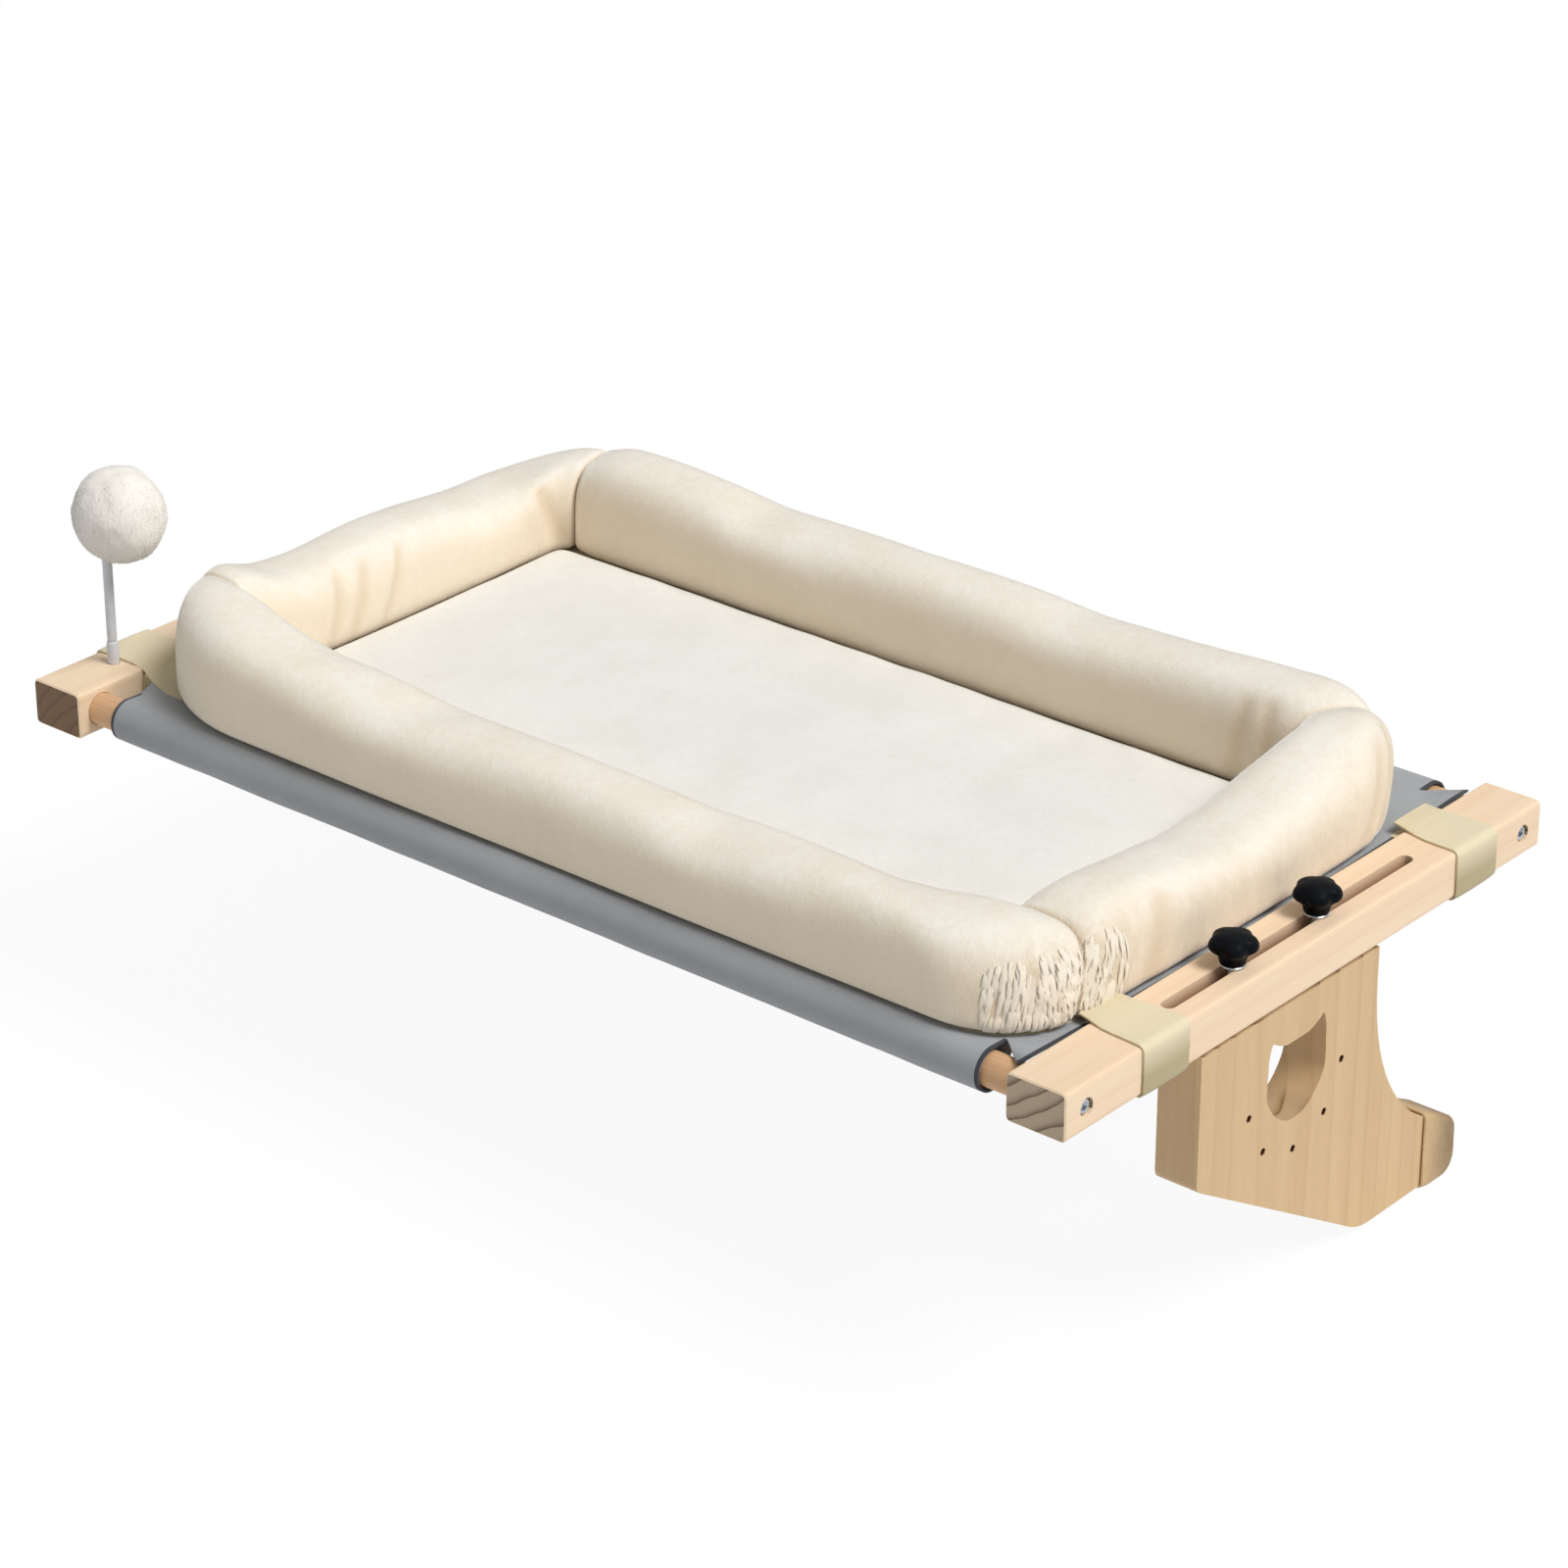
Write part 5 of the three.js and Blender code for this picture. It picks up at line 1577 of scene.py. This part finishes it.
def make_tube_screw(side, end):
    """Cap screw across the rail into the tube, with a knurled head and a hexagon socket."""
    node = f"{side}_{end}_tube_screw"
    centre = middle(node)
    length = size(node).x / MM
    head = size(node).z / 2 / MM
    start = length - CAP_HEIGHT / MM
    shank = CAP_SHANK_RADIUS / MM
    hexagon = CAP_SOCKET_REACH / MM
    floor = length - CAP_SOCKET_DEPTH / MM
    # Radius and height in millimetres, from the tip to the head and down the socket
    rows = (
        (0.3, 0), (1.6, 0.4), (shank, 2), (shank, start), (head - 0.4, start),
        (head, start + 0.4), (head, length - 1.3), (head - 0.1, length - 0.8),
        (head - 0.7, length - 0.1), (head - 1, length), (2.75, length), (2.5, length - 0.2),
        (hexagon, length - 0.35), (hexagon, floor), (0.4, floor - 0.6),
    )
    socket_rings = (12, 13)
    knurl_rings = (5, 6)
    sector = math.pi / 3

    def shaped(i, r, z, angle):
        if i in socket_rings:
            return r / math.cos(angle % sector - sector / 2)
        if i in knurl_rings:
            return r - KNURL_DEPTH * (1 - math.cos(KNURLS * angle)) / 2
        return r

    obj = lathe(f"{node}_steel", [mm(*row) for row in rows], CAP_STEPS, Vector(), shaped)
    turn = Matrix.Rotation(math.pi / 2 if side == "right" else -math.pi / 2, 4, "Y")
    tip = low(node).x if side == "right" else high(node).x
    obj.data.transform(Matrix.Translation((tip, centre.y, centre.z)) @ turn)
    sharpen(obj, 35)
    finish_piece(obj, "bed_frame", SCREW_STEEL, (node,))


# Toy


def make_toy():
    """Socket, stem in two halves, and ball."""
    outer = size("toy_socket").x / 2 / MM
    tall = size("toy_socket").z / MM
    stem = STEM_RADIUS / MM
    neck = STEM_NECK_RADIUS / MM
    floor = tall - STEM_NECK_DEPTH / MM
    # Radius and height in millimetres, up the outside and down the bore
    rows = (
        (0.5, 0), (outer - 0.6, 0), (outer, 0.6), (outer, tall - 5), (outer - 0.1, tall - 3),
        (outer - 0.35, tall - 1), (stem + 0.1, tall - 0.15), (stem - 0.2, tall),
        (neck, tall - 0.1), (neck, floor), (0.3, floor),
    )
    x, y, _ = underside("toy_socket")
    profile = [mm(*row) for row in rows]
    socket = lathe("toy_socket_sleeve", profile, STEM_STEPS, underside("toy_socket"))
    sharpen(socket, 50)
    finish_piece(socket, "bed_frame", TOY_PLASTIC, ("toy_socket",))
    bends = [(x, y, height) for height in STEM_BENDS]
    bottom = high("toy_socket").z - STEM_NECK_DEPTH
    top = low("toy_ball").z + STEM_IN_BALL
    for name, bodies, ends, bend in (
        ("lower", ("bed_frame", "toy_stem_body"), (bottom, STEM_BENDS[1]), bends[:2]),
        ("upper", ("toy_stem_body", "toy_ball_body"), (STEM_BENDS[1], top), bends[1:]),
    ):
        obj = stem_piece(f"toy_stem_{name}", x, y, *ends)
        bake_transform(obj)
        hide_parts("toy_stem")
        obj.data.materials.append(TOY_PLASTIC)
    make_ball()


def stem_piece(name, x, y, bottom, top):
    """A stretch of the stem, thinner where it is inside the socket."""
    steps = round((top - bottom) / STEM_STEP)
    profile = []
    for i in range(steps + 1):
        height = (top - bottom) * i / steps
        free = bottom + height > high("toy_socket").z
        profile.append((STEM_RADIUS if free else STEM_NECK_RADIUS - STEM_NECK_GAP, height))
    obj = lathe(name, profile, STEM_STEPS, Vector((x, y, bottom)))
    sharpen(obj, 60)
    return obj


def make_ball():
    """Plush ball: lumpy and a little pear-shaped, with pile standing out all round."""
    centre = middle("toy_ball")
    half = size("toy_ball") / 2 - Vector((1, 1, 1)) * BALL_PILE_ROOM
    rings = 40
    steps = 56
    points = []
    for i in range(rings + 1):
        polar = math.pi * i / rings
        for j in range(steps):
            points.append(centre + ball_offset(direction(polar, 2 * math.pi * j / steps), half))
    obj = mesh_object("toy_ball_core", points, ring_faces(rings + 1, steps))
    finish_piece(obj, "toy_ball_body", BALL_PLUSH, ("toy_ball",))
    rng = random.Random(11)
    roots = []
    for k in range(TUFT_COUNT):
        polar = math.acos(2 * (k + 0.5) / TUFT_COUNT - 1)
        d = direction(polar, k * math.pi * (3 - math.sqrt(5)))
        lean = Vector((rng.uniform(-1, 1), rng.uniform(-1, 1), rng.uniform(-1.4, -0.2)))
        roots.append((centre + ball_offset(d, half) * 0.99, (d + lean).normalized()))
    pile_mesh = tufts("toy_ball_pile", roots, rng)
    finish_piece(pile_mesh, "toy_ball_body", BALL_PLUSH)
    pile_mesh.parent = obj


def direction(polar, angle):
    """The direction at an angle about Z, turned up from straight down by another one."""
    r = math.sin(polar)
    return Vector((r * math.cos(angle), r * math.sin(angle), -math.cos(polar)))


def ball_offset(d, half):
    """From the ball's centre to its surface: lumps, and a neck where it hangs down."""
    lump = 1 + 0.05 * noise.noise(d * 1.7 + Vector((3, 1, 5))) + 0.03 * noise.noise(d * 4)
    off = d.angle(Vector((-0.21, -0.18, -0.96)))
    lump += 0.1 * bell(off, 0.3) - 0.09 * bell(off, 0.85)
    return Vector((d.x * half.x, d.y * half.y, d.z * half.z)) * lump


def tufts(name, roots, rng):
    """Short curved tufts of pile: each a thin three-sided blade with a bent tip."""
    points = []
    faces = []
    for root, way in roots:
        side = way.cross(Vector((rng.uniform(-1, 1), rng.uniform(-1, 1), rng.uniform(-1, 1))))
        side.normalize()
        other = way.cross(side)
        own = TUFT_LENGTH * rng.uniform(0.6, 1.1)
        droop = Vector((rng.uniform(-1, 1), rng.uniform(-1, 1), -rng.uniform(0, 1))) * own * 0.25
        first = len(points)
        for share in (0.0, 0.55):
            mid = root + way * own * share + droop * share * share
            thick = TUFT_WIDTH * (1 - 0.45 * share)
            for k in range(3):
                angle = 2 * math.pi * k / 3
                points.append(mid + (side * math.cos(angle) + other * math.sin(angle)) * thick)
        points.append(root + way * own + droop)
        for k in range(3):
            n = (k + 1) % 3
            faces.append((first + k, first + n, first + 3 + n, first + 3 + k))
            faces.append((first + 3 + k, first + 3 + n, first + 6))
        faces.append((first + 2, first + 1, first))
    return mesh_object(name, points, faces)


# Stage


def make_camera():
    data = bpy.data.cameras.new("camera")
    data.lens = CAMERA_LENS
    data.sensor_width = CAMERA_SENSOR
    data.sensor_fit = "HORIZONTAL"
    data.clip_end = CAMERA_REACH
    obj = new_object("camera", data)
    back = CAMERA_BACK.normalized()
    right = CAMERA_RIGHT.normalized()
    turn = Matrix((right, back.cross(right), back)).transposed().to_4x4()
    obj.matrix_world = Matrix.Translation(CAMERA_PLACE) @ turn
    bpy.context.scene.camera = obj


def make_light():
    data = bpy.data.lights.new("key", "SUN")
    data.energy = SUN_LEVEL
    data.angle = SUN_SPREAD
    obj = new_object("key", data)
    obj.rotation_euler = SUN_TOWARDS.to_track_quat("Z", "Y").to_euler()
    world = bpy.data.worlds.new("world")
    bpy.context.scene.world = world
    nodes = Nodes(world)
    room = nodes.node("Background", {0: WHITE, 1: WORLD_LEVEL})[0]
    seen = nodes.node("Background", {0: WHITE, 1: 1.0})[0]
    chosen = nodes.node("MixShader", {0: nodes.seen_directly(), 1: room, 2: seen})[0]
    nodes.node("OutputWorld", {0: chosen})


def make_floor():
    half = FLOOR_SIZE / 2
    points = [(half * x, half * y, FLOOR_Z) for x, y in ((-1, -1), (1, -1), (1, 1), (-1, 1))]
    obj = mesh_object("floor", points, [(0, 1, 2, 3)])
    material = bpy.data.materials.new("floor")
    nodes = Nodes(material)
    shade_level = (1 - FLOOR_GLOW) * FLOOR_SHADE
    plain = nodes.node("BsdfDiffuse", {0: (FLOOR_GREY, FLOOR_GREY, FLOOR_GREY, 1)})[0]
    shade = nodes.node("BsdfDiffuse", {0: (shade_level, shade_level, shade_level, 1)})[0]
    glow = nodes.node("Emission", {1: FLOOR_GLOW})[0]
    both = nodes.node("AddShader", {0: shade, 1: glow})[0]
    chosen = nodes.node("MixShader", {0: nodes.seen_directly(), 1: plain, 2: both})[0]
    nodes.node("OutputMaterial", {0: chosen})
    obj.data.materials.append(material)


# The whole scene

bpy.context.scene.view_settings.view_transform = "Standard"
make_camera()
make_light()
make_floor()
dress_solids()

bolsters, soft_jobs = make_bolsters()
pad, pad_job = make_pad()
soft_jobs.append(pad_job)
inflate(soft_jobs)
for side_name, bolster in bolsters.items():
    shape_bolster(side_name, bolster)
    finish_piece(bolster, "bed_frame", BOLSTER_PLUSH, (f"{side_name}_bolster",))
finish_piece(make_fur(bolsters), "bed_frame", CORNER_FUR)
shape_pad(pad)
subdivide(pad)
finish_piece(pad, "bed_frame", PAD_PLUSH, ("base_pad",))

make_bottom()
make_sling()
for side_name in ("left", "right"):
    make_foot_cover(side_name)
    for end_name in ("front", "back"):
        make_strap(side_name, end_name)
        make_knob(side_name, end_name)
        make_stud(side_name, end_name)
        make_washer(side_name, end_name)
        make_tube_screw(side_name, end_name)
make_toy()
